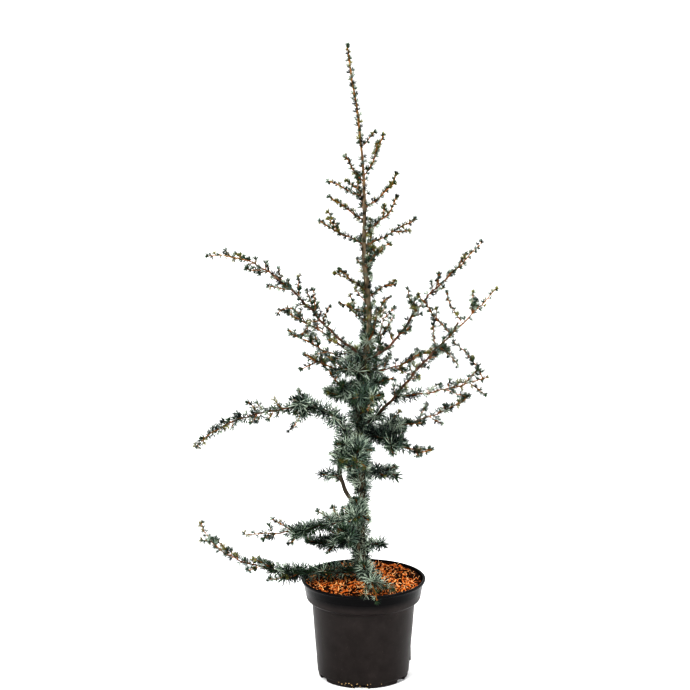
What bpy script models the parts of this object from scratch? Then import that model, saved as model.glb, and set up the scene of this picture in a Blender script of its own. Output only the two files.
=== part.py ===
"""A young cedar of Lebanon in a round ten-litre nursery pot.

The plant is worked out limb by limb. A limb leaves the trunk, or another limb, at a height, points a way,
and bends through four pitches on its way to its tip. Its thick first stretch is a bough. The rest is the
stem of one mass of foliage, on which twigs branch by a seeded rule. Stems and twigs are three-sided, and a
needle spray is a side of the twig drawn out to a point. Each mass keeps to the space that lies nearer to
its own wood than to any other.

Metres, +Z up. The origin is the centre of the pot's underside. -Y is the side the tree is seen from.
"""

import math
import random
from collections import namedtuple

import bmesh
import bpy
from mathutils import Matrix, Vector
from mathutils.bvhtree import BVHTree
from mathutils.kdtree import KDTree

# Pot, a thin moulded shell with a tapered collar.
POT_HEIGHT = 0.228
RIM_RADIUS = 0.140
LIP_HEIGHT = 0.005
LIP_UNDERCUT = 0.001
COLLAR_TOP_RADIUS = 0.1365
COLLAR_HEIGHT = 0.044
COLLAR_FOOT_RADIUS = 0.1285
SHOULDER_HEIGHT = 0.008
BODY_TOP_RADIUS = 0.1165
BODY_FOOT_RADIUS = 0.1026
COLLAR_FOOT = POT_HEIGHT - COLLAR_HEIGHT
BODY_TOP = COLLAR_FOOT - SHOULDER_HEIGHT
SHOULDER_RADIUS = COLLAR_FOOT_RADIUS - 0.003
FOOT_BEVEL = 0.002
POT_WALL = 0.0022
POT_FLOOR = 0.003
POT_STEPS = 32
NOTCH_COUNT = 6
NOTCH_HEADING = math.radians(27)
NOTCH_WIDTH = 0.030
NOTCH_HEIGHT = 0.009
NOTCH_DEPTH = 0.0146

# Soil, heaped a little round the trunk.
GAP = 0.0003
JOIN_GAP = 2 * GAP
GROUND = 0.222
SOIL_EDGE = 0.216
SOIL_FLAT_RADIUS = 0.022
SOIL_HEAP_SHARE = 0.6
SOIL_HEAP_DROP = 0.001

# Trunk: how far its axis has wandered sideways and backwards at each height over the ground.
TRUNK_BENDS = (
    (0.000, -0.003, 0.000),
    (0.012, -0.003, 0.000),
    (0.100, -0.006, 0.003),
    (0.175, -0.006, 0.004),
    (0.235, -0.002, 0.002),
    (0.300, -0.006, -0.002),
    (0.420, -0.014, -0.004),
    (0.480, -0.004, -0.005),
    (0.540, 0.007, -0.004),
    (0.600, 0.012, 0.000),
    (0.670, 0.007, 0.004),
    (0.735, 0.000, 0.005),
    (0.830, 0.001, 0.002),
    (0.930, -0.002, 0.000),
    (1.000, -0.009, -0.003),
    (1.070, -0.017, -0.002),
    (1.110, -0.025, 0.000),
    (1.195, -0.036, 0.002),
)
TREE_HEIGHT = TRUNK_BENDS[-1][0]
TRUNK_END = 0.970
TRUNK_WIDTHS = (
    (0.000, 0.0270),
    (0.012, 0.0220),
    (0.035, 0.0195),
    (0.190, 0.0150),
    (0.660, 0.0105),
    (0.780, 0.0085),
    (0.930, 0.0052),
    (1.020, 0.0045),
    (1.195, 0.0018),
)
FLARE_PLACES = [0.0, 0.005, 0.012, 0.020, 0.035]
FLARE_END = 0.060
TRUNK_STEP = 0.034
TRUNK_ROUNDING = 3
BOUGH_ROOT = 0.004
BOUGH_FIRST = 0.012
BOUGH_STEP = 0.022
BOUGH_ROUNDING = 1

# A limb: height over the ground or share of its carrier's length, heading and turn in degrees (0 is +X,
# 270 is towards -Y), length, pitch at the root, at each third and at the tip, width at the root, share of
# it that is a bare bough, share that has long dense needles, and how many twigs the rest of it carries.
Limb = namedtuple("Limb", "name carrier at heading turn length pitch width bare dense twigs")
TRUNK = "trunk"
RISER = "left_riser"
LIMBS = (
    # Low limbs, from the foot to the long arch on the left.
    Limb("lowest_left", TRUNK, 0.022, 192, -14, 0.408, (-1, 4, 19, 68), 0.0060, 0.14, 0.35, 2),
    Limb("rim_hanger", TRUNK, 0.036, 281, 0, 0.172, (2, -4, -12, -34), 0.0040, 0.00, 0.60, 1),
    Limb("back_lowest", TRUNK, 0.055, 98, 12, 0.280, (8, 2, 8, 22), 0.0050, 0.00, 0.45, 3),
    Limb("low_left_back", TRUNK, 0.091, 148, 0, 0.162, (-8, -13, -14, 52), 0.0040, 0.00, 0.70, 2),
    Limb("foot_right", TRUNK, 0.080, 335, 0, 0.052, (10, 12, 8, 0), 0.0030, 0.00, 1.00, 0),
    Limb("foot_front", TRUNK, 0.104, 238, 0, 0.080, (12, 6, 0, -8), 0.0030, 0.00, 1.00, 1),
    Limb("low_left", TRUNK, 0.141, 176, 12, 0.266, (-7, -14, -5, 3), 0.0050, 0.14, 0.45, 1),
    Limb("low_front", TRUNK, 0.176, 264, -8, 0.160, (16, 2, -6, 4), 0.0042, 0.00, 0.80, 2),
    Limb("back_low", TRUNK, 0.205, 104, -14, 0.300, (24, 8, 2, 12), 0.0055, 0.00, 0.45, 3),
    Limb(RISER, TRUNK, 0.166, 200, 0, 0.188, (41, 63, 93, 118), 0.0100, 1.00, 0.00, 0),
    Limb("riser_left", RISER, 0.50, 170, 0, 0.042, (17, 6, 5, 6), 0.0030, 0.00, 1.00, 0),
    Limb("riser_front", RISER, 0.69, 320, 0, 0.066, (5, 15, 12, 12), 0.0030, 0.00, 1.00, 0),
    Limb("right_lower", TRUNK, 0.249, 340, 0, 0.082, (19, 23, -20, -18), 0.0035, 0.00, 1.00, 1),
    Limb("left_arch", RISER, 1.00, 196, -10, 0.392, (75, 0, -14, -44), 0.0066, 0.10, 0.40, 1),
    # Middle limbs.
    Limb("right_low_front", TRUNK, 0.334, 318, 14, 0.197, (24, -8, -17, 24), 0.0042, 0.00, 0.60, 2),
    Limb("right_low_back", TRUNK, 0.342, 22, -16, 0.272, (-4, 13, 17, 37), 0.0045, 0.00, 0.35, 3),
    Limb("right_main", TRUNK, 0.351, 340, 10, 0.453, (39, 53, 45, 48), 0.0078, 0.28, 0.00, 1),
    Limb("right_fork", "right_main", 0.26, 350, 24, 0.208, (3, 11, 13, 19), 0.0040, 0.00, 0.20, 1),
    Limb("front_middle", TRUNK, 0.318, 262, 12, 0.240, (22, -2, -8, 6), 0.0050, 0.00, 0.70, 3),
    Limb("back_middle", TRUNK, 0.372, 70, 14, 0.350, (34, 38, 40, 34), 0.0060, 0.14, 0.30, 3),
    Limb("left_front_short", TRUNK, 0.412, 234, 0, 0.142, (35, 38, 45, 42), 0.0035, 0.00, 0.50, 1),
    Limb("front_upper", TRUNK, 0.432, 284, 0, 0.150, (24, 6, -4, 4), 0.0040, 0.00, 0.80, 2),
    Limb("left_tuft", TRUNK, 0.424, 168, 0, 0.068, (8, 8, 11, 11), 0.0030, 0.00, 1.00, 1),
    Limb("right_front_short", TRUNK, 0.448, 318, 0, 0.106, (5, 23, 24, 24), 0.0032, 0.00, 0.60, 1),
    Limb("left_front", TRUNK, 0.480, 214, 0, 0.167, (23, 10, 28, 32), 0.0040, 0.00, 0.25, 2),
    Limb("right_back", TRUNK, 0.487, 26, 0, 0.190, (-10, 6, 20, 27), 0.0040, 0.00, 0.20, 2),
    Limb("left_middle", TRUNK, 0.494, 144, 10, 0.206, (18, 11, 22, 23), 0.0040, 0.00, 0.25, 1),
    Limb("right_upper", TRUNK, 0.508, 352, 12, 0.374, (23, 60, 42, 50), 0.0060, 0.12, 0.12, 2),
    Limb("left_under", TRUNK, 0.515, 160, 0, 0.212, (12, 36, 23, 25), 0.0042, 0.00, 0.15, 1),
    Limb("left_upper", TRUNK, 0.518, 202, -16, 0.440, (32, 50, 38, -4), 0.0066, 0.12, 0.10, 1),
    Limb("back_upper", TRUNK, 0.536, 94, -12, 0.300, (38, 44, 44, 38), 0.0050, 0.00, 0.15, 3),
    # Upper shoots.
    Limb("shoot_01", TRUNK, 0.548, 304, 0, 0.140, (50, 68, 60, 27), 0.0038, 0.00, 0.10, 1),
    Limb("shoot_02", TRUNK, 0.619, 140, 0, 0.082, (-7, 10, 9, 6), 0.0032, 0.00, 0.00, 1),
    Limb("shoot_03", TRUNK, 0.651, 48, 0, 0.095, (18, 17, 13, 12), 0.0032, 0.00, 0.00, 1),
    Limb("shoot_04", TRUNK, 0.668, 226, 0, 0.107, (18, 34, 36, 24), 0.0034, 0.00, 0.00, 1),
    Limb("shoot_05", TRUNK, 0.690, 80, 10, 0.180, (34, 42, 40, 34), 0.0036, 0.00, 0.00, 1),
    Limb("shoot_06", TRUNK, 0.717, 296, 0, 0.137, (38, 33, 27, 25), 0.0034, 0.00, 0.00, 1),
    Limb("shoot_07", TRUNK, 0.765, 8, 0, 0.127, (18, 29, 28, 31), 0.0034, 0.00, 0.00, 1),
    Limb("shoot_08", TRUNK, 0.767, 178, 0, 0.111, (33, 24, 25, 46), 0.0034, 0.00, 0.00, 1),
    Limb("shoot_09", TRUNK, 0.799, 318, 0, 0.126, (20, 34, 43, 74), 0.0032, 0.00, 0.00, 1),
    Limb("shoot_10", TRUNK, 0.822, 204, 0, 0.101, (28, 39, 32, 39), 0.0030, 0.00, 0.00, 1),
    Limb("shoot_11", TRUNK, 0.842, 102, 0, 0.115, (34, 38, 40, 44), 0.0030, 0.00, 0.00, 1),
    Limb("shoot_12", TRUNK, 0.848, 28, 0, 0.109, (32, 31, 46, 69), 0.0030, 0.00, 0.00, 1),
    Limb("shoot_13", TRUNK, 0.872, 168, 0, 0.088, (22, 25, 24, 22), 0.0028, 0.00, 0.00, 0),
    Limb("shoot_14", TRUNK, 0.907, 226, 0, 0.084, (31, 49, 50, 50), 0.0026, 0.00, 0.00, 0),
    Limb("shoot_15", TRUNK, 0.919, 330, 0, 0.105, (45, 66, 65, 70), 0.0026, 0.00, 0.00, 1),
)
LEADER = "leader"

# A fork: a longer side shoot of a mass, with a course of its own.
Fork = namedtuple("Fork", "carrier at heading turn length pitch")
FORKS = (
    Fork("lowest_left", 0.30, 222, 0, 0.066, (-30, -4, 4, 4)),
    Fork("lowest_left", 0.40, 130, 0, 0.056, (4, 16, 8, 4)),
    Fork("low_left", 0.12, 160, 0, 0.044, (55, 42, 36, 35)),
    Fork("low_left", 0.42, 215, 0, 0.046, (-36, -34, -30, -28)),
    Fork("left_arch", 0.25, 235, 0, 0.076, (-40, -34, -30, -30)),
    Fork("left_arch", 0.22, 150, 0, 0.046, (20, 45, 60, 55)),
    Fork("left_arch", 0.56, 140, 0, 0.036, (20, 50, 45, 30)),
    Fork("right_main", 0.56, 200, 0, 0.120, (46, 48, 54, 50)),
    Fork("right_main", 0.67, 150, 0, 0.078, (45, 50, 66, 76)),
    Fork("right_main", 0.76, 60, 0, 0.048, (80, 84, 90, 96)),
    Fork("right_main", 0.42, 110, 0, 0.052, (60, 64, 76, 82)),
    Fork("right_main", 0.43, 300, 0, 0.088, (0, -6, -30, -26)),
    Fork("right_fork", 0.95, 130, 30, 0.106, (65, 48, 36, 36)),
    Fork("right_fork", 0.80, 330, 0, 0.044, (-30, -20, -34, -42)),
    Fork("right_upper", 0.36, 100, 0, 0.090, (12, 16, 24, 48)),
    Fork("right_upper", 0.16, 300, 0, 0.056, (34, 26, 28, 34)),
    Fork("right_upper", 0.57, 60, 0, 0.034, (54, 62, 66, 68)),
    Fork("left_under", 0.74, 175, 0, 0.082, (78, 40, 0, -42)),
    Fork("left_under", 0.70, 230, 0, 0.032, (-46, -40, -32, -30)),
    Fork("left_middle", 0.42, 220, 0, 0.040, (24, 2, 6, 8)),
    Fork("left_middle", 0.64, 120, 0, 0.048, (40, 36, 20, 16)),
    Fork("left_upper", 0.66, 215, 0, 0.046, (4, 4, 10, 12)),
    Fork("left_upper", 0.53, 150, 0, 0.034, (68, 70, 80, 84)),
    Fork("left_upper", 0.47, 215, 0, 0.062, (2, 10, 18, 20)),
    Fork("left_upper", 0.40, 120, 0, 0.046, (84, 86, 86, 84)),
    Fork("left_upper", 0.25, 250, 0, 0.066, (70, 66, 72, 74)),
    Fork("left_upper", 0.20, 40, 0, 0.040, (72, 58, 62, 64)),
    Fork("shoot_08", 0.52, 150, 0, 0.054, (72, 60, 57, 56)),
    Fork(LEADER, 0.05, 12, 0, 0.044, (30, 48, 47, 46)),
)

# Every limb strays a little from its course, in short waves.
LIMB_STEP = 0.006
SWAY_ANGLE = 7.0
SWAY_LENGTH = 0.055
TIP_WIDTH = 0.0016
TAPER = 0.22
RISER_TAPER = 0.78

# Seating a limb's root a gap clear of its carrier.
SEAT_SEARCH = 0.0015
SEAT_TRIES = 12
SEAT_SPOKES = 12
SEAT_AHEAD = (0.0, 0.002, 0.004, 0.007)
LEAST_ANGLE = 0.35
STEEPEST_TIP_ANGLE = 1.2

# Twigs.
TWIG_LENGTH = 0.058
TWIG_SPREAD = 52.0
TWIG_WIDTH = 0.0017
FORK_WIDTH = 0.0021
TWIG_TIP_WIDTH = TIP_WIDTH * 0.8
TWIG_RISE = 0.35
TWIG_LIFT = 0.18
TWIG_BEND = 0.35
SHORTEST_TWIG = 0.018
TWIG_ROOM = 0.75
TWIG_END_ROOM = 0.012
FIRST_TWIG = 0.18
LAST_TWIG = 0.86
TWIG_TRIES = 6
WOOD_CLEARANCE = 0.009
OWN_CLEARANCE = 0.004
POT_CLEARANCE = 0.006
MARK_STEP = 0.004
GOLDEN_TURN = math.radians(137.5)

# Needle sprays: whorls along the outer shoots, a dense brush near the trunk low down.
WHORL_SPACING = 0.0380
WHORL_LENGTH = 0.0055
WHORL_NEEDLE = 0.0145
BRUSH_SPACING = 0.0138
BRUSH_NEEDLE = 0.0310
BRUSH_LEAN = 36.0
BRUSH_SHARE = 0.6
REAR_LEAN = 8.0
FRONT_LEAN = 46.0
RING_TWIST = math.radians(30)
KEEP_OFF_WOOD = 0.0012
KEEP_OFF_SPACE = 0.0020
NEEDLE_SAMPLES = (0.35, 0.7, 1.0)
NEEDLE_REACH = 0.045
NEEDLE_SCALES = ((0.0, 1.15), (0.55, 1.05), (0.8, 0.85), (1.2, 0.75))
WHORL_SWELL = 1.25
BARE_ROOT = 0.004
SIDES = 3
WELDS = (0.00004, 0.00001, 0.000001)


# Materials and collections.

def finish(name, colour, roughness):
    """A plain material with a base colour and a roughness."""
    material = bpy.data.materials.new(name)
    material.use_nodes = True
    shader = material.node_tree.nodes["Principled BSDF"]
    shader.inputs["Base Color"].default_value = (*colour, 1.0)
    shader.inputs["Roughness"].default_value = roughness
    shader.inputs["Metallic"].default_value = 0.0
    return material


def clear_scene():
    for old in list(bpy.data.objects):
        bpy.data.objects.remove(old)


def new_collection(name, hidden=False):
    collection = bpy.data.collections.new(name)
    collection.hide_render = hidden
    bpy.context.scene.collection.children.link(collection)
    return collection


def add_object(name, data, collection, material=None):
    obj = bpy.data.objects.new(name, data)
    collection.objects.link(obj)
    if material:
        obj.data.materials.append(material)
    return obj


def mesh_from(obj):
    """The object's mesh with its modifiers or its bevel applied."""
    bpy.context.view_layer.update()
    graph = bpy.context.evaluated_depsgraph_get()
    return bpy.data.meshes.new_from_object(obj.evaluated_get(graph))


# Courses: the lines that the wood follows.

def smooth_through(rows, step):
    """Points every step or so on a smooth curve through rows of (height, x, y), as (height, x, y)."""
    points = []
    for index in range(len(rows) - 1):
        near = [Vector(rows[min(max(index + k, 0), len(rows) - 1)]) for k in (-1, 0, 1, 2)]
        count = max(1, round((near[2].x - near[1].x) / step))
        start_slope = (near[2] - near[0]) / 2
        end_slope = (near[3] - near[1]) / 2
        for k in range(count):
            t = k / count
            points.append(
                near[1] * (2 * t**3 - 3 * t**2 + 1)
                + start_slope * (t**3 - 2 * t**2 + t)
                + near[2] * (3 * t**2 - 2 * t**3)
                + end_slope * (t**3 - t**2)
            )
    points.append(Vector(rows[-1]))
    return [Vector((p.y, p.z, GROUND + p.x)) for p in points]


def even(start, end, step):
    """Distances from start to end, as near to a step apart as fits."""
    count = max(2, round((end - start) / step))
    return [start + (end - start) * index / count for index in range(count + 1)]


def along(rows, place):
    """The value at a place in rows of (place, value), straight between them."""
    for (low, start), (high, end) in zip(rows, rows[1:]):
        if place <= high:
            return start + (end - start) * max(0.0, place - low) / (high - low)
    return rows[-1][1]


def pitch_at(limb, share):
    thirds = (0.0, 1 / 3, 2 / 3, 1.0)
    return along(list(zip(thirds, limb.pitch)), share)


def aim(heading, pitch):
    """The unit vector with this heading and pitch in degrees."""
    flat = math.cos(math.radians(pitch))
    turn = math.radians(heading)
    return Vector((flat * math.cos(turn), flat * math.sin(turn), math.sin(math.radians(pitch))))


def course_of(limb, start):
    """Points from the start to the tip of the limb, a step apart."""
    wander = random.Random(f"{limb.carrier} {limb.at} {limb.heading}")
    phases = [wander.uniform(0, math.tau) for _ in range(4)]
    count = max(4, round(limb.length / LIMB_STEP))
    step = limb.length / count
    points = [start.copy()]
    for index in range(count):
        share = (index + 0.5) / count
        wave = math.tau * share * limb.length / SWAY_LENGTH
        side = math.sin(wave + phases[0]) + 0.5 * math.sin(1.7 * wave + phases[1])
        lift = math.sin(0.9 * wave + phases[2]) + 0.5 * math.sin(1.6 * wave + phases[3])
        loose = SWAY_ANGLE * min(1.0, 4 * share)
        heading = limb.heading + limb.turn * share + loose * side
        points.append(points[-1] + step * aim(heading, pitch_at(limb, share) + loose * lift))
    return points


def cut_course(points, start, end):
    """The stretch of a course between two distances from its first point."""
    kept = []
    gone = 0.0
    for here, there in zip(points, points[1:]):
        length = (there - here).length
        for edge in (start, end):
            if gone <= edge < gone + length:
                kept.append(here.lerp(there, (edge - gone) / length))
        if start < gone + length < end:
            kept.append(there.copy())
        gone += length
    if end >= gone:
        kept.append(points[-1].copy())
    return [p for k, p in enumerate(kept) if k == 0 or (p - kept[k - 1]).length > LIMB_STEP / 20]


def length_of(points):
    return sum((there - here).length for here, there in zip(points, points[1:]))


def point_at(points, distance):
    """The point and the direction at a distance along a course."""
    for here, there in zip(points, points[1:]):
        length = (there - here).length
        if distance <= length:
            return here.lerp(there, distance / length), (there - here).normalized()
        distance -= length
    return points[-1].copy(), (points[-1] - points[-2]).normalized()


class Wood:
    """A trunk, bough, stem or twig: a course, its widths at both ends and the mass that it belongs to."""

    def __init__(self, owner, points, root_width, tip_width, rigid=False, near_side=None):
        self.owner = owner
        self.near_side = near_side
        self.points = points
        self.root_width = root_width
        self.tip_width = tip_width
        self.rigid = rigid
        self.length = length_of(points)

    def radius(self, distance):
        share = distance / self.length
        return (self.root_width * (1 - share) + self.tip_width * share) / 2


def trunk_radius(distance):
    return along(TRUNK_WIDTHS, distance) / 2


# Plan: every course, before any foliage.

def leave(carrier_way, carrier_radius, way, radius):
    """How far along its own course a limb comes well clear of the round limb that carries it."""
    angle = min(max(LEAST_ANGLE, carrier_way.angle(way)), math.pi - LEAST_ANGLE)
    return carrier_radius / math.sin(angle) + radius / abs(math.tan(angle)) + SEAT_SEARCH


def leave_tip(carrier_way, way, radius):
    """How far along its own course a limb comes clear of the flat end of the limb that carries it."""
    angle = min(carrier_way.angle(way), STEEPEST_TIP_ANGLE)
    return radius * math.tan(angle) + SEAT_SEARCH


def seat(course, start, radius, near_side, carrier):
    """Slides a limb's root back along its course until its first stretch is a gap clear of the carrier."""
    for _ in range(SEAT_TRIES):
        nearest = 1.0
        for ahead in SEAT_AHEAD:
            centre, way = point_at(course, start + ahead)
            across, downward = ring_frame(way)
            first = math.atan2(near_side.dot(downward), near_side.dot(across))
            for spoke in range(SEAT_SPOKES):
                for out in (radius, radius / 2):
                    place = ring_point(centre, across, downward, out, first + spoke * math.tau / SEAT_SPOKES)
                    nearest = min(nearest, carrier.find_nearest(place)[3])
        start -= 0.9 * (nearest - 1.1 * GAP)
    return start


def plan_limbs(plant):
    """Makes the trunk and the boughs, and plans the stems of the masses that start on them."""
    bark = finish("trunk_bark", (0.115, 0.085, 0.055), 0.85)
    young_bark = finish("bough_bark", (0.14, 0.09, 0.05), 0.80)
    trunk_course = smooth_through(TRUNK_BENDS, TRUNK_STEP)
    trunk = Wood(TRUNK, cut_course(trunk_course, 0, TRUNK_END), TRUNK_WIDTHS[0][1], 0, True)
    trunk.radius = trunk_radius
    trunk.points[0].z += GAP
    places = FLARE_PLACES + even(FLARE_END, trunk.length, TRUNK_STEP)
    made = limb_object(trunk, TRUNK, plant, bark, places, TRUNK_ROUNDING)
    carriers = {TRUNK: BVHTree.FromPolygons(*faces_of(made))}
    courses = {TRUNK: trunk_course}
    boughs = {TRUNK: trunk}
    stems = []
    for limb in LIMBS:
        carrier = boughs[limb.carrier]
        reach = 1 if limb.carrier == TRUNK else length_of(courses[limb.carrier])
        root, carrier_way = point_at(courses[limb.carrier], limb.at * reach)
        course = course_of(limb, root)
        courses[limb.name] = course
        way = (course[1] - course[0]).normalized()
        if limb.carrier == TRUNK or limb.at < 1:
            outward = way - carrier_way * way.dot(carrier_way)
            start = leave(carrier_way, carrier.radius(limb.at * reach), way, limb.width / 2)
        else:
            outward = carrier_way
            start = leave_tip(carrier_way, way, limb.width / 2)
        near_side = way * outward.dot(way) - outward
        start = seat(course, start, limb.width / 2, near_side, carriers[limb.carrier])
        if limb.at == 1:
            start += GAP
        bare_end = max(start, limb.bare * limb.length)
        tip_width = limb.width * RISER_TAPER if limb.name == RISER else max(TIP_WIDTH, limb.width * TAPER)

        def width(distance, limb=limb, tip_width=tip_width):
            return limb.width + (tip_width - limb.width) * distance / limb.length

        if limb.bare > 0:
            points = cut_course(course, start, bare_end)
            bough = Wood(limb.name, points, width(start), width(bare_end), True)
            places = [0.0, BOUGH_ROOT] + even(BOUGH_FIRST, bough.length, BOUGH_STEP)
            made = limb_object(bough, "bough_" + limb.name, plant, young_bark, places, BOUGH_ROUNDING)
            boughs[limb.name] = bough
            carriers[limb.name] = BVHTree.FromPolygons(*faces_of(made))
            start = bare_end + JOIN_GAP
        if limb.bare < 1:
            stem = cut_course(course, start, limb.length)
            stems.append((limb, Wood(limb.name, stem, width(start), tip_width, near_side=near_side)))
    top = cut_course(trunk_course, TRUNK_END + JOIN_GAP, TREE_HEIGHT + 1)
    leader = Limb(LEADER, TRUNK, TRUNK_END, 0, 0, 0, (0, 0, 0, 0), 0, 0, 0, 0)
    stems.append((leader, Wood(LEADER, top, trunk_radius(TRUNK_END) * 2, TIP_WIDTH)))
    return list(boughs.values()), stems


def faces_of(obj):
    return [vert.co for vert in obj.data.vertices], [face.vertices for face in obj.data.polygons]


class Space:
    """Knows all the wood, and tells which points are free for a mass to fill."""

    def __init__(self, woods):
        self.marks = []
        for wood in woods:
            self.add(wood)
        self.rebuild()

    def add(self, wood):
        count = max(2, math.ceil(wood.length / MARK_STEP))
        for index in range(count + 1):
            distance = wood.length * index / count
            place = point_at(wood.points, distance)[0]
            self.marks.append((place, wood.owner, wood.radius(distance), wood.rigid))

    def rebuild(self):
        self.tree = KDTree(len(self.marks))
        for index, mark in enumerate(self.marks):
            self.tree.insert(mark[0], index)
        self.tree.balance()

    def clear_of_pot(self, place, margin):
        """Whether a point is over the soil, or outside the pot and over the floor."""
        from_axis = math.hypot(place.x, place.y)
        if from_axis > RIM_RADIUS + margin:
            return place.z > margin
        return place.z > (POT_HEIGHT if from_axis > RIM_RADIUS - POT_CLEARANCE else GROUND) + margin

    def free_for_needle(self, owner, root, tip):
        """Whether a needle from root to tip stays in its mass's own space."""
        for share in NEEDLE_SAMPLES:
            place = root.lerp(tip, share)
            if not self.clear_of_pot(place, KEEP_OFF_WOOD):
                return False
            own = (place - root).length
            for _, index, distance in self.tree.find_range(place, NEEDLE_REACH):
                _, other, radius, rigid = self.marks[index]
                if other == owner and not rigid:
                    own = min(own, distance)
                elif rigid and distance < radius + KEEP_OFF_WOOD:
                    return False
            for _, index, _ in self.tree.find_range(place, own + KEEP_OFF_SPACE):
                _, other, _, rigid = self.marks[index]
                if not rigid and other != owner:
                    return False
        return True

    def free_for_wood(self, owner, points):
        """Whether a new twig keeps clear of all other wood, past its own root."""
        for index, place in enumerate(points):
            if not self.clear_of_pot(place, POT_CLEARANCE):
                return False
            reach = WOOD_CLEARANCE + TRUNK_WIDTHS[0][1] / 4
            for _, found, distance in self.tree.find_range(place, reach):
                _, other, radius, rigid = self.marks[found]
                if (other != owner or rigid) and distance < WOOD_CLEARANCE + radius:
                    return False
                if other == owner and not rigid and index > 3 and distance < OWN_CLEARANCE:
                    return False
        return True


def twig_course(stem, distance, roll, length, dice):
    """A twig that leaves its stem at an angle and bends back a little towards the stem's way."""
    root, way = point_at(stem.points, distance)
    across = way.cross(Vector((0, 0, 1))).normalized()
    upward = across.cross(way).normalized()
    side = across * math.cos(roll) + upward * math.sin(roll) * TWIG_RISE
    side = (side.normalized() + Vector((0, 0, TWIG_LIFT))).normalized()
    spread = math.radians(TWIG_SPREAD + dice.uniform(-8, 8))
    heading = (way * math.cos(spread) + side * math.sin(spread)).normalized()
    count = max(3, round(length / LIMB_STEP))
    points = [root]
    for index in range(count):
        bend = heading.lerp(way, TWIG_BEND * index / count).normalized()
        points.append(points[-1] + bend * length / count)
    return points


def plan_twigs(stems, space):
    """Twigs for each stem, by the seeded rule, each kept only where there is room for it."""
    masses = {}
    for limb, stem in stems:
        dice = random.Random("twigs of " + limb.name)
        twigs = []
        for fork in FORKS:
            if fork.carrier != limb.name:
                continue
            root = point_at(stem.points, fork.at * stem.length)[0]
            twigs.append(Wood(limb.name, course_of(fork, root), FORK_WIDTH, TIP_WIDTH))
            space.add(twigs[-1])
        space.rebuild()
        roll = dice.uniform(0, math.tau)
        for number in range(limb.twigs):
            share = FIRST_TWIG + (LAST_TWIG - FIRST_TWIG) * (number + 0.5) / limb.twigs
            for _ in range(TWIG_TRIES):
                roll += GOLDEN_TURN
                place = stem.length * (share + dice.uniform(-0.05, 0.05))
                room = (stem.length - place) * TWIG_ROOM + TWIG_END_ROOM
                length = min(TWIG_LENGTH * dice.uniform(0.7, 1.25), room)
                points = twig_course(stem, place, roll, length, dice)
                if length > SHORTEST_TWIG and space.free_for_wood(limb.name, points):
                    twig = Wood(limb.name, points, TWIG_WIDTH, TWIG_TIP_WIDTH)
                    twigs.append(twig)
                    space.add(twig)
                    space.rebuild()
                    break
        masses[limb.name] = (limb, stem, twigs)
    return masses


# Meshes of the foliage.

def stations_of(wood, dense_length, dice):
    """Ring places along a twig, each (distance, kind of the stretch that ends there)."""
    stations = [(0.0, "root"), (min(BARE_ROOT, wood.length / 5), "bare")]
    place = stations[-1][0]
    while place < wood.length - 0.0005:
        if place < dense_length:
            place += BRUSH_SPACING * dice.uniform(0.9, 1.1)
            stations.append((min(place, wood.length), "brush"))
            continue
        place += (WHORL_SPACING - 2 * WHORL_LENGTH) * dice.uniform(0.8, 1.2)
        if place > wood.length - 2 * WHORL_LENGTH - BARE_ROOT:
            place = max(stations[-1][0] + BARE_ROOT, wood.length - 2 * WHORL_LENGTH)
        stations.append((place, "bare"))
        for kind in ("rear", "front"):
            place += WHORL_LENGTH
            stations.append((place, kind))
    return stations


def ring_frame(way):
    """Two unit vectors across a direction."""
    across = way.cross(Vector((0, 0, 1)))
    if across.length < 0.05:
        across = way.cross(Vector((1, 0, 0)))
    across.normalize()
    return across, way.cross(across).normalized()


def ring_point(centre, across, downward, radius, angle):
    return centre + radius * (across * math.cos(angle) + downward * math.sin(angle))


def place_ring(verts, centre, way, radius, spin):
    across, downward = ring_frame(way)
    for index, vert in enumerate(verts):
        vert.co = ring_point(centre, across, downward, radius, spin + index * math.tau / SIDES)


def draw_out(bm, face, centre, way, lean, length, owner, space):
    """Draws a side of a twig out to a needle's point, if that point is in the mass's own space."""
    middle = face.calc_center_median()
    outward = middle - centre
    outward = (outward - way * outward.dot(way)).normalized()
    tip = middle + length * (outward * math.cos(lean) + way * math.sin(lean))
    if not space.free_for_needle(owner, middle, tip):
        return
    bmesh.ops.poke(bm, faces=[face])["verts"][0].co = tip


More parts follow.
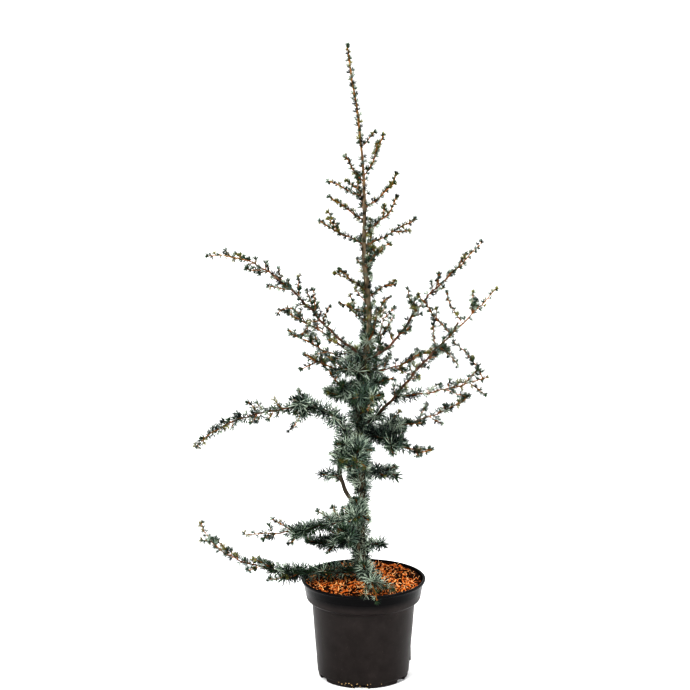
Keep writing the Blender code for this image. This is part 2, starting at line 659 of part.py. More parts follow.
def needled_twig(wood, dense_length, needle_scale, space):
    """A three-sided twig with its needle sprays, as a closed mesh."""
    dice = random.Random(f"needles of {wood.owner} {wood.length:.5f}")
    stations = stations_of(wood, dense_length, dice)
    bm = bmesh.new()
    made = bmesh.ops.create_cone(bm, cap_ends=True, segments=SIDES, radius1=1, radius2=1, depth=1)
    lower = sorted((v for v in made["verts"] if v.co.z < 0), key=lambda v: math.atan2(v.co.y, v.co.x))
    upper = sorted((v for v in made["verts"] if v.co.z > 0), key=lambda v: math.atan2(v.co.y, v.co.x))
    tip = next(face for face in bm.faces if set(face.verts) == set(upper))
    spin = dice.uniform(0, math.tau)
    if wood.near_side:
        across, downward = ring_frame(point_at(wood.points, 0)[1])
        spin = math.atan2(wood.near_side.dot(downward), wood.near_side.dot(across))
    ring = lower
    for number, (distance, kind) in enumerate(stations):
        centre, way = point_at(wood.points, min(distance, wood.length - 1e-6))
        swell = WHORL_SWELL if kind == "rear" else 1.0
        if number == 1:
            ring = upper
        if number > 1:
            corners = [ring.index(vert) for vert in tip.verts]
            tip = bmesh.ops.extrude_discrete_faces(bm, faces=[tip])["faces"][0]
            ring = [vert for _, vert in sorted(zip(corners, tip.verts), key=lambda pair: pair[0])]
        place_ring(ring, centre, way, wood.radius(distance) * swell, spin)
        if kind in ("rear", "front", "brush"):
            edge_faces = {face for edge in tip.edges for face in edge.link_faces} - {tip}
            sides = sorted(edge_faces, key=lambda face: face.calc_center_median().z)
            before = point_at(wood.points, stations[number - 1][0])[0]
            middle = (before + centre) / 2
            for side in sides:
                lean, length = needle_shape(kind, needle_scale, dice)
                draw_out(bm, side, middle, way, lean, length, wood.owner, space)
        spin += RING_TWIST if kind != "bare" else dice.uniform(0, RING_TWIST)
    centre, way = point_at(wood.points, wood.length)
    end = centre + way * WHORL_NEEDLE * needle_scale
    if space.free_for_needle(wood.owner, centre, end):
        bmesh.ops.poke(bm, faces=[tip])["verts"][0].co = end
    return bm


def needle_shape(kind, scale, dice):
    """Lean from the square of the twig, and length, of one needle spray."""
    if kind == "brush":
        return math.radians(BRUSH_LEAN + dice.uniform(-5, 5)), BRUSH_NEEDLE * dice.uniform(0.85, 1.1)
    lean = REAR_LEAN if kind == "rear" else FRONT_LEAN
    return math.radians(lean + dice.uniform(-8, 8)), WHORL_NEEDLE * scale * dice.uniform(0.8, 1.15)


def one_body(mesh):
    """The mesh with only its largest body, so scraps go and hollows fill. None if it isn't a closed solid."""
    for weld in WELDS:
        bm = bmesh.new()
        bm.from_mesh(mesh)
        bmesh.ops.remove_doubles(bm, verts=bm.verts, dist=weld)
        bmesh.ops.triangulate(bm, faces=bm.faces)
        keep_largest(bm)
        closed = all(len(edge.link_faces) == 2 for edge in bm.edges) and bm.calc_volume(signed=True) > 0
        body = mesh_of(bm, mesh.name)
        if closed:
            return body
    return None


def keep_largest(bm):
    unseen = set(bm.faces)
    bodies = []
    while unseen:
        body = {unseen.pop()}
        edge_of_body = list(body)
        while edge_of_body:
            face = edge_of_body.pop()
            for edge in face.edges:
                for near in edge.link_faces:
                    if near in unseen:
                        unseen.remove(near)
                        body.add(near)
                        edge_of_body.append(near)
        bodies.append(body)
    bodies.sort(key=len, reverse=True)
    for body in bodies[1:]:
        bmesh.ops.delete(bm, geom=list(body), context="FACES")


def fused_with(obj, joined):
    """The object's mesh with the joined twigs fused on. None if neither solver gives one closed solid."""
    fuse = obj.modifiers.new("Fuse", "BOOLEAN")
    fuse.operation = "UNION"
    fuse.operand_type = "COLLECTION"
    fuse.collection = joined
    fused = None
    for solver in ("EXACT", "MANIFOLD"):
        fuse.solver = solver
        fused = fused or one_body(mesh_from(obj))
    obj.modifiers.remove(fuse)
    return fused


def foliage_mass(limb, stem, twigs, collection, material, space):
    """One mass: its needled stem with its needled twigs fused on."""
    full = limb.length or stem.length
    gone = full - stem.length
    dense_length = max(0.0, limb.dense * full - gone)
    height = stem.points[0].z - GROUND
    scale = along(NEEDLE_SCALES, height)
    base = mesh_of(needled_twig(stem, dense_length, scale, space), "stem")
    obj = add_object("foliage_" + limb.name, base, collection, material)
    joined = new_collection("twigs", hidden=True)
    for number, twig in enumerate(twigs):
        near_trunk = point_distance(stem.points, twig.points[0]) < dense_length
        twig_bm = needled_twig(twig, twig.length * BRUSH_SHARE if near_trunk else 0.0, scale, space)
        add_object(f"twig_{number}", mesh_of(twig_bm, "twig"), joined)
    if twigs:
        obj.data = fused_with(obj, joined) or obj.data
    for twig in list(joined.objects):
        bpy.data.objects.remove(twig)
    bpy.data.collections.remove(joined)
    return obj


def point_distance(points, place):
    """How far along a course the course comes nearest to a place."""
    best = min(range(len(points)), key=lambda k: (points[k] - place).length)
    return length_of(points[: best + 1])


def mesh_of(bm, name):
    mesh = bpy.data.meshes.new(name)
    bm.to_mesh(mesh)
    bm.free()
    return mesh


# Wood, pot and soil.

def limb_object(wood, name, collection, material, distances, resolution):
    """A tapering round limb: a curve with a bevel, made a mesh with its caps welded."""
    curve = bpy.data.curves.new(name, "CURVE")
    curve.dimensions = "3D"
    curve.bevel_depth = 1.0
    curve.bevel_resolution = resolution
    curve.use_fill_caps = True
    spline = curve.splines.new("POLY")
    spline.points.add(len(distances) - 1)
    for index, distance in enumerate(distances):
        place = point_at(wood.points, distance)[0]
        spline.points[index].co = (*place, 1.0)
        spline.points[index].radius = wood.radius(distance)
    guide = add_object(name + "_guide", curve, collection)
    mesh = mesh_from(guide)
    bpy.data.objects.remove(guide)
    bm = bmesh.new()
    bm.from_mesh(mesh)
    bmesh.ops.remove_doubles(bm, verts=bm.verts, dist=0.00001)
    bmesh.ops.recalc_face_normals(bm, faces=bm.faces)
    bm.to_mesh(mesh)
    bm.free()
    mesh.shade_smooth()
    return add_object(name, mesh, collection, material)


def turned(name, profile, steps, collection, material):
    """A turned solid from a profile of (radius, height) that runs down its outer side."""
    mesh = bpy.data.meshes.new(name)
    edges = [(index, index + 1) for index in range(len(profile) - 1)]
    mesh.from_pydata([(radius, 0, height) for radius, height in profile], edges, [])
    obj = add_object(name, mesh, collection, material)
    screw = obj.modifiers.new("Turn", "SCREW")
    screw.steps = steps
    screw.render_steps = steps
    screw.use_merge_vertices = True
    screw.merge_threshold = 0.0001
    screw.use_smooth_shade = False
    return obj


def pot_profile():
    """From the inside of the floor up the inner wall, over the lip, down the outside, under the floor."""
    return (
        (0, POT_FLOOR),
        (BODY_FOOT_RADIUS - POT_WALL, POT_FLOOR),
        (BODY_TOP_RADIUS - POT_WALL, BODY_TOP),
        (SHOULDER_RADIUS - POT_WALL, COLLAR_FOOT),
        (COLLAR_TOP_RADIUS - POT_WALL, POT_HEIGHT - LIP_HEIGHT),
        (COLLAR_TOP_RADIUS - POT_WALL, POT_HEIGHT),
        (RIM_RADIUS, POT_HEIGHT),
        (RIM_RADIUS, POT_HEIGHT - LIP_HEIGHT),
        (COLLAR_TOP_RADIUS, POT_HEIGHT - LIP_HEIGHT - LIP_UNDERCUT),
        (COLLAR_FOOT_RADIUS, COLLAR_FOOT),
        (SHOULDER_RADIUS, COLLAR_FOOT - SHOULDER_HEIGHT / 3),
        (BODY_TOP_RADIUS, BODY_TOP - POT_WALL),
        (BODY_FOOT_RADIUS, FOOT_BEVEL),
        (BODY_FOOT_RADIUS - FOOT_BEVEL, 0),
        (0, 0),
    )


def make_pot(collection, cutters):
    plastic = finish("pot_plastic", (0.022, 0.020, 0.020), 0.42)
    pot = turned("pot", pot_profile(), POT_STEPS, collection, plastic)
    for number in range(NOTCH_COUNT):
        heading = NOTCH_HEADING + math.tau * number / NOTCH_COUNT
        bm = bmesh.new()
        bmesh.ops.create_cube(bm, size=1.0)
        scale = Matrix.Diagonal((NOTCH_DEPTH * 2, NOTCH_WIDTH, NOTCH_HEIGHT * 2, 1))
        bm.transform(Matrix.Rotation(heading, 4, "Z") @ Matrix.Translation((BODY_FOOT_RADIUS, 0, 0)) @ scale)
        cutter = add_object(f"notch_{number}", mesh_of(bm, "notch"), cutters)
        cutter.hide_render = True
        cutter.display_type = "WIRE"
        cut = pot.modifiers.new("Drain", "BOOLEAN")
        cut.operation = "DIFFERENCE"
        cut.object = cutter
    return pot


def make_soil(collection):
    """The filling: a gap clear of the pot's wall and floor all round, a little heaped."""
    clear = POT_WALL + 2 * GAP
    edge_share = (SOIL_EDGE - COLLAR_FOOT) / (POT_HEIGHT - LIP_HEIGHT - COLLAR_FOOT)
    edge_radius = SHOULDER_RADIUS + (COLLAR_TOP_RADIUS - SHOULDER_RADIUS) * edge_share
    profile = (
        (0, GROUND),
        (SOIL_FLAT_RADIUS, GROUND),
        (edge_radius * SOIL_HEAP_SHARE, GROUND - SOIL_HEAP_DROP),
        (edge_radius - clear, SOIL_EDGE),
        (SHOULDER_RADIUS - clear, COLLAR_FOOT),
        (BODY_TOP_RADIUS - clear, BODY_TOP),
        (BODY_FOOT_RADIUS - clear, POT_FLOOR + GAP),
        (0, POT_FLOOR + GAP),
    )
    chips = finish("soil_bark", (0.20, 0.085, 0.035), 0.95)
    return turned("soil", profile, POT_STEPS, collection, chips)


def make_cedar():
    clear_scene()
    plant = new_collection("cedar_of_lebanon")
    cutters = new_collection("cutters", hidden=True)
    make_pot(plant, cutters)
    make_soil(plant)
    needles = finish("needles", (0.12, 0.17, 0.14), 0.60)
    boughs, stems = plan_limbs(plant)
    space = Space(boughs + [stem for _, stem in stems])
    for limb, stem, twigs in plan_twigs(stems, space).values():
        foliage_mass(limb, stem, twigs, plant, needles, space)


make_cedar()
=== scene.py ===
"""A young cedar of Lebanon in its nursery pot: the finishes, bark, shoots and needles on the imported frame."""

import math
import random
from collections import namedtuple
from functools import partial

import bmesh
import bpy
import numpy as np
from mathutils import Matrix, Vector, noise
from mathutils.kdtree import KDTree


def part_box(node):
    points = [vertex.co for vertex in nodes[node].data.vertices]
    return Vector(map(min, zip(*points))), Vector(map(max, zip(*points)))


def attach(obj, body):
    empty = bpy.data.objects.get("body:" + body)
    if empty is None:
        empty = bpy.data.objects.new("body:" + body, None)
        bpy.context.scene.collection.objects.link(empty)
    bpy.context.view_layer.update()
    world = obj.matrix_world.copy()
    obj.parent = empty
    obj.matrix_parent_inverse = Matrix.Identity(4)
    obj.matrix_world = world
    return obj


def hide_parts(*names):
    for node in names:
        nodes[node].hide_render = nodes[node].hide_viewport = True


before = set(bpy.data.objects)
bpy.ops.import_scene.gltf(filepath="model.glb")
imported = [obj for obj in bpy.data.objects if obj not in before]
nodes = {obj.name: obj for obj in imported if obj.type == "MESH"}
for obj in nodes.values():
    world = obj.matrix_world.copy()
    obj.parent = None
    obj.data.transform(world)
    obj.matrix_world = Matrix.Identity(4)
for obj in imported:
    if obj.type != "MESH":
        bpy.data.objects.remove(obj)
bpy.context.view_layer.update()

# ---------------------------------------------------------------- Pot
# A ten-litre nursery pot, blown or moulded in thin black plastic: a rolled lip, a tapered collar that the
# next pot's rim stops on, a step in, and a tapered body that stands on a foot with six drainage notches.

POT_HEIGHT = 0.228
RIM_RADIUS = 0.140
LIP_HEIGHT = 0.0055
COLLAR_TOP = 0.1365
COLLAR_FOOT = 0.1285
COLLAR_HEIGHT = 0.044
SHOULDER_HEIGHT = 0.008
SHOULDER_STEP = 0.003
BODY_TOP = 0.1165
BODY_FOOT = 0.1026
FOOT_HEIGHT = 0.0105
POT_WALL = 0.0022
POT_BASE = 0.0125
POT_ROUNDING = 0.0016
POT_STEPS = 144
SHARP_ANGLE = math.radians(38)
NOTCH_COUNT = 6
NOTCH_HEADING = 27.0
NOTCH_SIZE = (0.030, 0.030, 0.0180)
NOTCH_FROM_AXIS = 0.088
DRAIN_RADIUS = 0.0045
DRAIN_FROM_AXIS = NOTCH_FROM_AXIS + 0.007
UNDERSIDE_RECESS = (0.072, 0.005)
TAB_SIZE = (0.0036, 0.0055, 0.031)
TAB_PLACE = (0.1063, 0.0, 0.0465)


def add_node(tree, kind, *links, **settings):
    """A node with its properties set, and inputs given as (socket, value, or node or socket to link)."""
    node = tree.nodes.new(kind)
    for key, value in settings.items():
        setattr(node, key, value)
    for socket, value in links:
        if isinstance(value, bpy.types.Node):
            value = value.outputs[0]
        if isinstance(value, bpy.types.NodeSocket):
            tree.links.new(value, node.inputs[socket])
        else:
            node.inputs[socket].default_value = value
    return node


def shader_of(name, roughness=0.85, shine=0.12):
    """A new node material, its tree and its shader, with a roughness and a specular level."""
    material = bpy.data.materials.new(name)
    material.use_nodes = True
    tree = material.node_tree
    shader = tree.nodes["Principled BSDF"]
    shader.inputs["Roughness"].default_value = roughness
    shader.inputs["Specular IOR Level"].default_value = shine
    return material, tree, shader


def add_noise(tree, scale, detail=4.0, stretch=(1, 1, 1), roughness=0.55):
    """A noise on Object coordinates."""
    place = add_node(tree, "ShaderNodeTexCoord")
    mapping = add_node(tree, "ShaderNodeMapping", ("Vector", place.outputs["Object"]), ("Scale", stretch))
    texture = add_node(tree, "ShaderNodeTexNoise", ("Vector", mapping), ("Scale", scale),
                       ("Detail", detail), ("Roughness", roughness))
    return texture.outputs["Fac"]


def add_ramp(tree, factor, stops):
    """A colour ramp over a factor, from rows of (place, colour)."""
    ramp = add_node(tree, "ShaderNodeValToRGB", ("Fac", factor))
    elements = ramp.color_ramp.elements
    while len(elements) < len(stops):
        elements.new(0.5)
    for element, (place, colour) in zip(elements, stops):
        element.position = place
        element.color = (*colour, 1.0)
    return ramp.outputs["Color"]


def add_mix(tree, factor, first, second):
    """Two colours mixed by a factor."""
    pair = [side if isinstance(side, bpy.types.NodeSocket) else (*side, 1.0) for side in (first, second)]
    mix = add_node(tree, "ShaderNodeMix", (0, factor), (6, pair[0]), (7, pair[1]), data_type="RGBA")
    return mix.outputs[2]


def add_range(tree, value, starts=0.0, ends=1.0, low=0.0, high=1.0):
    """A value mapped to run from low to high between where it starts and ends."""
    span = add_node(tree, "ShaderNodeMapRange", ("Value", value), ("From Min", starts), ("From Max", ends),
                    ("To Min", low), ("To Max", high))
    return span.outputs["Result"]


def add_height(tree, low, high):
    """A factor that runs from 0 to 1 between two heights."""
    place = add_node(tree, "ShaderNodeTexCoord")
    split = add_node(tree, "ShaderNodeSeparateXYZ", (0, place.outputs["Object"]))
    return add_range(tree, split.outputs["Z"], low, high)


def colour_by(tree, shader, colour):
    tree.links.new(colour, shader.inputs["Base Color"])


def add_bump(tree, shader, height, strength, distance):
    bump = add_node(tree, "ShaderNodeBump", ("Height", height), ("Strength", strength),
                    ("Distance", distance))
    tree.links.new(bump.outputs["Normal"], shader.inputs["Normal"])


def piece_from(name, mesh, *materials):
    """A finished piece at the origin."""
    mesh.name = name
    if materials:
        mesh.materials.clear()
        for material in materials:
            mesh.materials.append(material)
    piece = bpy.data.objects.new(name, mesh)
    bpy.context.scene.collection.objects.link(piece)
    return piece


def ride_as(piece, slot, *replaced):
    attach(piece, "root")
    if replaced:
        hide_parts(*replaced)


def mesh_from(bm, name):
    """The mesh of a bmesh, which is freed."""
    mesh = bpy.data.meshes.new(name)
    bm.to_mesh(mesh)
    bm.free()
    return mesh


def applied(obj):
    """The object's mesh as its modifiers leave it. The object itself is removed."""
    bpy.context.view_layer.update()
    graph = bpy.context.evaluated_depsgraph_get()
    mesh = bpy.data.meshes.new_from_object(obj.evaluated_get(graph))
    bpy.data.objects.remove(obj)
    return mesh


def rounded(corners, radius, steps=4):
    """A profile of (radius, height) with each inner corner rounded."""
    points = [corners[0]]
    for before, corner, after in zip(corners, corners[1:], corners[2:]):
        here = Vector(corner)
        back = Vector(before) - here
        ahead = Vector(after) - here
        cut = min(radius, back.length * 0.45, ahead.length * 0.45)
        first = here + back.normalized() * cut
        last = here + ahead.normalized() * cut
        for k in range(steps + 1):
            t = k / steps
            points.append(tuple(first * (1 - t) ** 2 + here * 2 * t * (1 - t) + last * t**2))
    points.append(corners[-1])
    return points


def turned_mesh(name, profile, steps):
    """A closed turned mesh from a profile that starts and ends on the axis."""
    bm = bmesh.new()
    verts = [bm.verts.new((radius, 0, height)) for radius, height in profile]
    edges = [bm.edges.new(pair) for pair in zip(verts, verts[1:])]
    bmesh.ops.spin(bm, geom=verts + edges, cent=(0, 0, 0), axis=(0, 0, 1), angle=math.tau, steps=steps,
                   use_merge=True)
    bmesh.ops.remove_doubles(bm, verts=bm.verts, dist=0.00001)
    bmesh.ops.recalc_face_normals(bm, faces=bm.faces)
    return mesh_from(bm, name)


def box_mesh(size, place, bevel):
    """A box of this size about a place, with its edges rounded."""
    bm = bmesh.new()
    bmesh.ops.create_cube(bm, size=1.0)
    bmesh.ops.scale(bm, vec=size, verts=bm.verts)
    bmesh.ops.bevel(bm, geom=bm.edges[:], offset=bevel, segments=3, affect="EDGES")
    bmesh.ops.translate(bm, vec=place, verts=bm.verts)
    return mesh_from(bm, "box")


def rod_mesh(radius, place, height):
    bm = bmesh.new()
    bmesh.ops.create_cone(bm, cap_ends=True, segments=24, radius1=radius, radius2=radius, depth=height)
    bmesh.ops.translate(bm, vec=place, verts=bm.verts)
    return mesh_from(bm, "rod")


def smoothed(mesh):
    """The mesh shaded smooth, with its sharp edges kept."""
    mesh.shade_smooth()
    mesh.set_sharp_from_angle(angle=SHARP_ANGLE)
    return mesh


collar_foot_z = POT_HEIGHT - COLLAR_HEIGHT
body_top_z = collar_foot_z - SHOULDER_HEIGHT
shoulder = COLLAR_FOOT - SHOULDER_STEP
pot_inside = [
    (0, POT_BASE),
    (BODY_FOOT + 0.0010 - POT_WALL, POT_BASE),
    (BODY_TOP - POT_WALL, body_top_z),
    (shoulder - POT_WALL, collar_foot_z),
    (COLLAR_TOP - POT_WALL - 0.0003, POT_HEIGHT - 0.004),
]
pot_outside = [
    (COLLAR_TOP - POT_WALL, POT_HEIGHT),
    (RIM_RADIUS, POT_HEIGHT),
    (RIM_RADIUS, POT_HEIGHT - LIP_HEIGHT),
    (COLLAR_TOP + 0.0004, POT_HEIGHT - LIP_HEIGHT - 0.0007),
    (COLLAR_TOP - 0.0012, POT_HEIGHT - 0.012),
    (COLLAR_FOOT + 0.0010, collar_foot_z + 0.0030),
    (COLLAR_FOOT + 0.0002, collar_foot_z - 0.0008),
    (shoulder + 0.0006, collar_foot_z - 0.0032),
    (BODY_TOP + 0.0022, body_top_z + 0.0016),
    (BODY_TOP, body_top_z - 0.0015),
    (BODY_FOOT + 0.0012, FOOT_HEIGHT + 0.0020),
    (BODY_FOOT - 0.0004, FOOT_HEIGHT),
    (BODY_FOOT - 0.0012, 0.0024),
    (BODY_FOOT - 0.0034, 0),
    (UNDERSIDE_RECESS[0] + 0.001, 0),
    (UNDERSIDE_RECESS[0], UNDERSIDE_RECESS[1]),
    (0, UNDERSIDE_RECESS[1]),
]
pot_profile = rounded(pot_inside + pot_outside, POT_ROUNDING)

# Black plastic, dusty on the body and glossier on the collar, with painted shade that colours the collar's
# upper band near-black.
plastic, tree, shader = shader_of("pot_black_plastic", shine=0.09)
dust = add_noise(tree, 26, 8, roughness=0.7)
black = add_ramp(tree, dust, [
    (0.35, (0.0135, 0.0108, 0.0101)), (0.62, (0.0200, 0.0163, 0.0154)), (0.80, (0.0310, 0.0252, 0.0233))])
specks = add_ramp(tree, add_noise(tree, 420, 2), [(0.70, (0, 0, 0)), (0.78, (1, 1, 1))])
dusty = add_mix(tree, specks, black, (0.075, 0.062, 0.052))
collar_shade_and_gloss = add_height(tree, collar_foot_z + 0.006, collar_foot_z + 0.020)
# Painted shade: the collar's upper band takes a near-black colour in place of the dusty black.
colour_by(tree, shader, add_mix(tree, collar_shade_and_gloss, dusty, (0.0016, 0.0015, 0.0018)))
gloss = add_range(tree, add_mix(tree, collar_shade_and_gloss, dust, (0.0, 0.0, 0.0)), low=0.26, high=0.56)
tree.links.new(gloss, shader.inputs["Roughness"])
add_bump(tree, shader, add_noise(tree, 90, 5, (1, 1, 0.35)), 0.12, 0.002)

pot_blank = piece_from("pot_blank", turned_mesh("pot_blank", pot_profile, POT_STEPS), plastic)
drill_tools = [rod_mesh(DRAIN_RADIUS * 2, (0, 0, POT_BASE / 2), 0.04)]
for number in range(NOTCH_COUNT):
    turn = Matrix.Rotation(math.radians(NOTCH_HEADING) + math.tau * number / NOTCH_COUNT, 4, "Z")
    notch = box_mesh(NOTCH_SIZE, (NOTCH_FROM_AXIS + NOTCH_SIZE[0] / 2, 0, 0), 0.0015)
    drain = rod_mesh(DRAIN_RADIUS, (DRAIN_FROM_AXIS, 0, POT_BASE), 0.012)
    for mesh in (notch, drain):
        mesh.transform(turn)
        drill_tools.append(mesh)
drill_tools = [piece_from("drill_tool", mesh) for mesh in drill_tools]
for tool in drill_tools:
    cut = pot_blank.modifiers.new("Drain", "BOOLEAN")
    cut.object = tool
pot_mesh = applied(pot_blank)
for tool in drill_tools:
    bpy.data.objects.remove(tool)
pot = piece_from("pot_shell", smoothed(pot_mesh), plastic)
ride_as(pot, "pot_plastic", "pot")
ride_as(piece_from("pot_tab", smoothed(box_mesh(TAB_SIZE, TAB_PLACE, 0.0008)), plastic), "pot_plastic")

# ---------------------------------------------------------------- Soil
# A potting mix of shredded bark and coir, filled to just under the lip and a little heaped in the middle.
# It is a rough bed with loose shreds, chips and fibres of several browns lying on it in every direction.

GROUND = 0.222
SOIL_EDGE = 0.216
SOIL_GAP = 0.0006
SOIL_SIDE_GAP = 0.0008
# The soil is banked up against the wall on one side: how high, from what share of the radius, and which way.
BANK_HEIGHT = 0.0095
BANK_STARTS = 0.62
BANK_SIDE = Vector((0.35, 0.94))
# How many lumps and grains there are to the metre, and how high they stand.
LUMPS = 62
LUMP_HEIGHT = 0.0016
GRAINS = 330
GRAIN_HEIGHT = 0.0006
BED_RINGS = 90
BED_SPOKES = 220
STREW_INSET = 0.006
STREW_DEPTH = 0.006
bed_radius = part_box("soil")[1].x + 0.0002


def bed_height(x, y):
    """Height of the rough bed of soil."""
    out = min(1.0, math.hypot(x, y) / bed_radius)
    heap = SOIL_EDGE + (GROUND - SOIL_EDGE) * (1 - out**2)
    behind = max(0.0, BANK_SIDE.dot((x, y)) / bed_radius)
    heap += BANK_HEIGHT * behind * max(0.0, out - BANK_STARTS) / (1 - BANK_STARTS)
    lumps = noise.fractal(Vector((x, y, 3.1)) * LUMPS, 0.8, 2.1, 4)
    grains = noise.noise(Vector((x, y, 7.7)) * GRAINS)
    return heap + LUMP_HEIGHT * lumps + GRAIN_HEIGHT * grains


def mottled(name, roughness, shine, grain, stops, bump=None):
    """A material of tones dealt out by a noise, with a bump of (strength, distance) from the same noise."""
    material, tree, shader = shader_of(name, roughness, shine)
    shade = add_noise(tree, **grain)
    colour_by(tree, shader, add_ramp(tree, shade, stops))
    if bump:
        add_bump(tree, shader, shade, *bump)
    return material


bm = bmesh.new()
rings = []
for ring in range(1, BED_RINGS + 1):
    reach = bed_radius * ring / BED_RINGS
    row = []
    for spoke in range(BED_SPOKES):
        turn = math.tau * spoke / BED_SPOKES
        x, y = reach * math.cos(turn), reach * math.sin(turn)
        row.append(bm.verts.new((x, y, bed_height(x, y))))
    rings.append(row)
inside_pot = (
    (collar_foot_z, shoulder - POT_WALL),
    (body_top_z, BODY_TOP - POT_WALL),
    (POT_BASE + SOIL_GAP, BODY_FOOT - POT_WALL))
for height, reach in inside_pot:
    ways = [v.co.xy.normalized() for v in rings[BED_RINGS - 1]]
    rings.append([bm.verts.new((*(way * (reach - SOIL_SIDE_GAP)), height)) for way in ways])
foot = rings.pop()
centre = bm.verts.new((0, 0, bed_height(0, 0)))
under = bm.verts.new((0, 0, POT_BASE + SOIL_GAP))
for spoke in range(BED_SPOKES):
    after = (spoke + 1) % BED_SPOKES
    bm.faces.new((centre, rings[0][spoke], rings[0][after]))
    bm.faces.new((under, foot[after], foot[spoke]))
    for inner, outer in zip(rings, rings[1:] + [foot]):
        bm.faces.new((inner[spoke], outer[spoke], outer[after], inner[after]))
bed_mesh = mesh_from(bm, "soil_bed")
bed_mesh.shade_smooth()
# The bed's darkest tone is near-black painted shade for the gaps under the litter; the browns are the earth's
# own.
EARTH_AND_GAP_SHADE_TONES = ((0.38, (0.004, 0.0016, 0.001)), (0.56, (0.024, 0.008, 0.003)), (0.74, (0.14, 0.045, 0.014)))
earth_and_gap_shade = mottled("soil_mix", 0.93, 0.05, {"scale": 130, "detail": 6, "roughness": 0.7}, EARTH_AND_GAP_SHADE_TONES,
                (0.9, 0.002))
ride_as(piece_from("soil_bed", bed_mesh, earth_and_gap_shade), "soil_bark", "soil")


def new_tree(name, *inputs):
    """A Geometry Nodes tree, its inputs' sockets by name, and add_node for it. It has a geometry in and out,
    a material, and inputs given as (name, socket type)."""
    group = bpy.data.node_groups.new(name, "GeometryNodeTree")
    face = group.interface
    face.new_socket("Geometry", in_out="INPUT", socket_type="NodeSocketGeometry")
    face.new_socket("Geometry", in_out="OUTPUT", socket_type="NodeSocketGeometry")
    for label, kind in (*inputs, ("Material", "Material")):
        face.new_socket(label, in_out="INPUT", socket_type="NodeSocket" + kind)
    given = {socket.name: socket for socket in group.nodes.new("NodeGroupInput").outputs if socket.name}
    return group, given, partial(add_node, group)


def close_tree(put, given, made):
    """The tree's end: what was made takes the material given."""
    dressed = put("GeometryNodeSetMaterial", ("Geometry", made), ("Material", given["Material"]))
    put("NodeGroupOutput", (0, dressed))


def grown(name, mesh, group, values):
    """The mesh that a tree makes from a base mesh, with the tree's named inputs set."""
    base = piece_from(name + "_base", mesh)
    modifier = base.modifiers.new("Grow", "NODES")
    modifier.node_group = group
    for item in group.interface.items_tree:
        if item.in_out == "INPUT" and item.name in values:
            modifier[item.identifier] = values[item.name]
    return applied(base)


litter, given, put = new_tree("soil_litter", ("Density", "Float"), ("Least Size", "Vector"),
                              ("Greatest Size", "Vector"), ("Tilt", "Float"), ("Seed", "Int"))
scatter = put("GeometryNodeDistributePointsOnFaces", ("Mesh", given["Geometry"]),
              ("Density", given["Density"]), ("Seed", given["Seed"]))
shred = put("GeometryNodeMeshCube", ("Size", (1, 1, 1)), ("Vertices X", 4), ("Vertices Y", 2),
            ("Vertices Z", 2))
down = put("ShaderNodeMath", (0, given["Tilt"]), (1, -1.0), operation="MULTIPLY")
low_turn = put("ShaderNodeCombineXYZ", ("X", down), ("Y", down), ("Z", 0.0))
high_turn = put("ShaderNodeCombineXYZ", ("X", given["Tilt"]), ("Y", given["Tilt"]), ("Z", math.tau))
turn = put("FunctionNodeRandomValue", (0, low_turn), (1, high_turn), ("Seed", given["Seed"]),
           data_type="FLOAT_VECTOR")
size = put("FunctionNodeRandomValue", (0, given["Least Size"]), (1, given["Greatest Size"]),
           ("ID", put("GeometryNodeInputIndex")), ("Seed", given["Seed"]), data_type="FLOAT_VECTOR")
strewn = put("GeometryNodeInstanceOnPoints", ("Points", scatter), ("Instance", shred), ("Rotation", turn),
             ("Scale", size))
solid = put("GeometryNodeRealizeInstances", ("Geometry", strewn))
ragged = put("ShaderNodeTexNoise", ("Scale", 170.0), ("Detail", 2.0))
centred = put("ShaderNodeVectorMath", (0, ragged.outputs["Color"]), (1, (0.5, 0.5, 0.5)),
              operation="SUBTRACT")
shift = put("ShaderNodeVectorMath", (0, centred), ("Scale", 0.0045), operation="SCALE")
torn = put("GeometryNodeSetPosition", ("Geometry", solid), ("Offset", shift))
close_tree(put, given, torn)


def top_of_bed(radius, depth):
    """The bed's upper faces out to a radius and down to a depth, as a base to strew on."""
    bm = bmesh.new()
    bm.from_mesh(bed_mesh)
    bmesh.ops.recalc_face_normals(bm, faces=bm.faces)
    centres = [(face, face.calc_center_median()) for face in bm.faces]
    spare = [face for face, centre in centres if centre.z < SOIL_EDGE - depth or centre.xy.length > radius]
    bmesh.ops.delete(bm, geom=spare, context="FACES")
    return mesh_from(bm, "bed_top")


def strew(name, base, seed, density, least, greatest, tilt, dark, light):
    """Litter strewn on a base mesh: so many to the square metre, between two sizes, tilted up to so much."""
    material = mottled(name, 0.85, 0.06, {"scale": 260}, [(0.32, dark), (0.68, light)], (0.5, 0.001))
    values = {"Density": density, "Least Size": least, "Greatest Size": greatest, "Tilt": tilt,
              "Seed": seed, "Material": material}
    ride_as(piece_from(name, grown(name, base, litter, values)), "soil_bark")


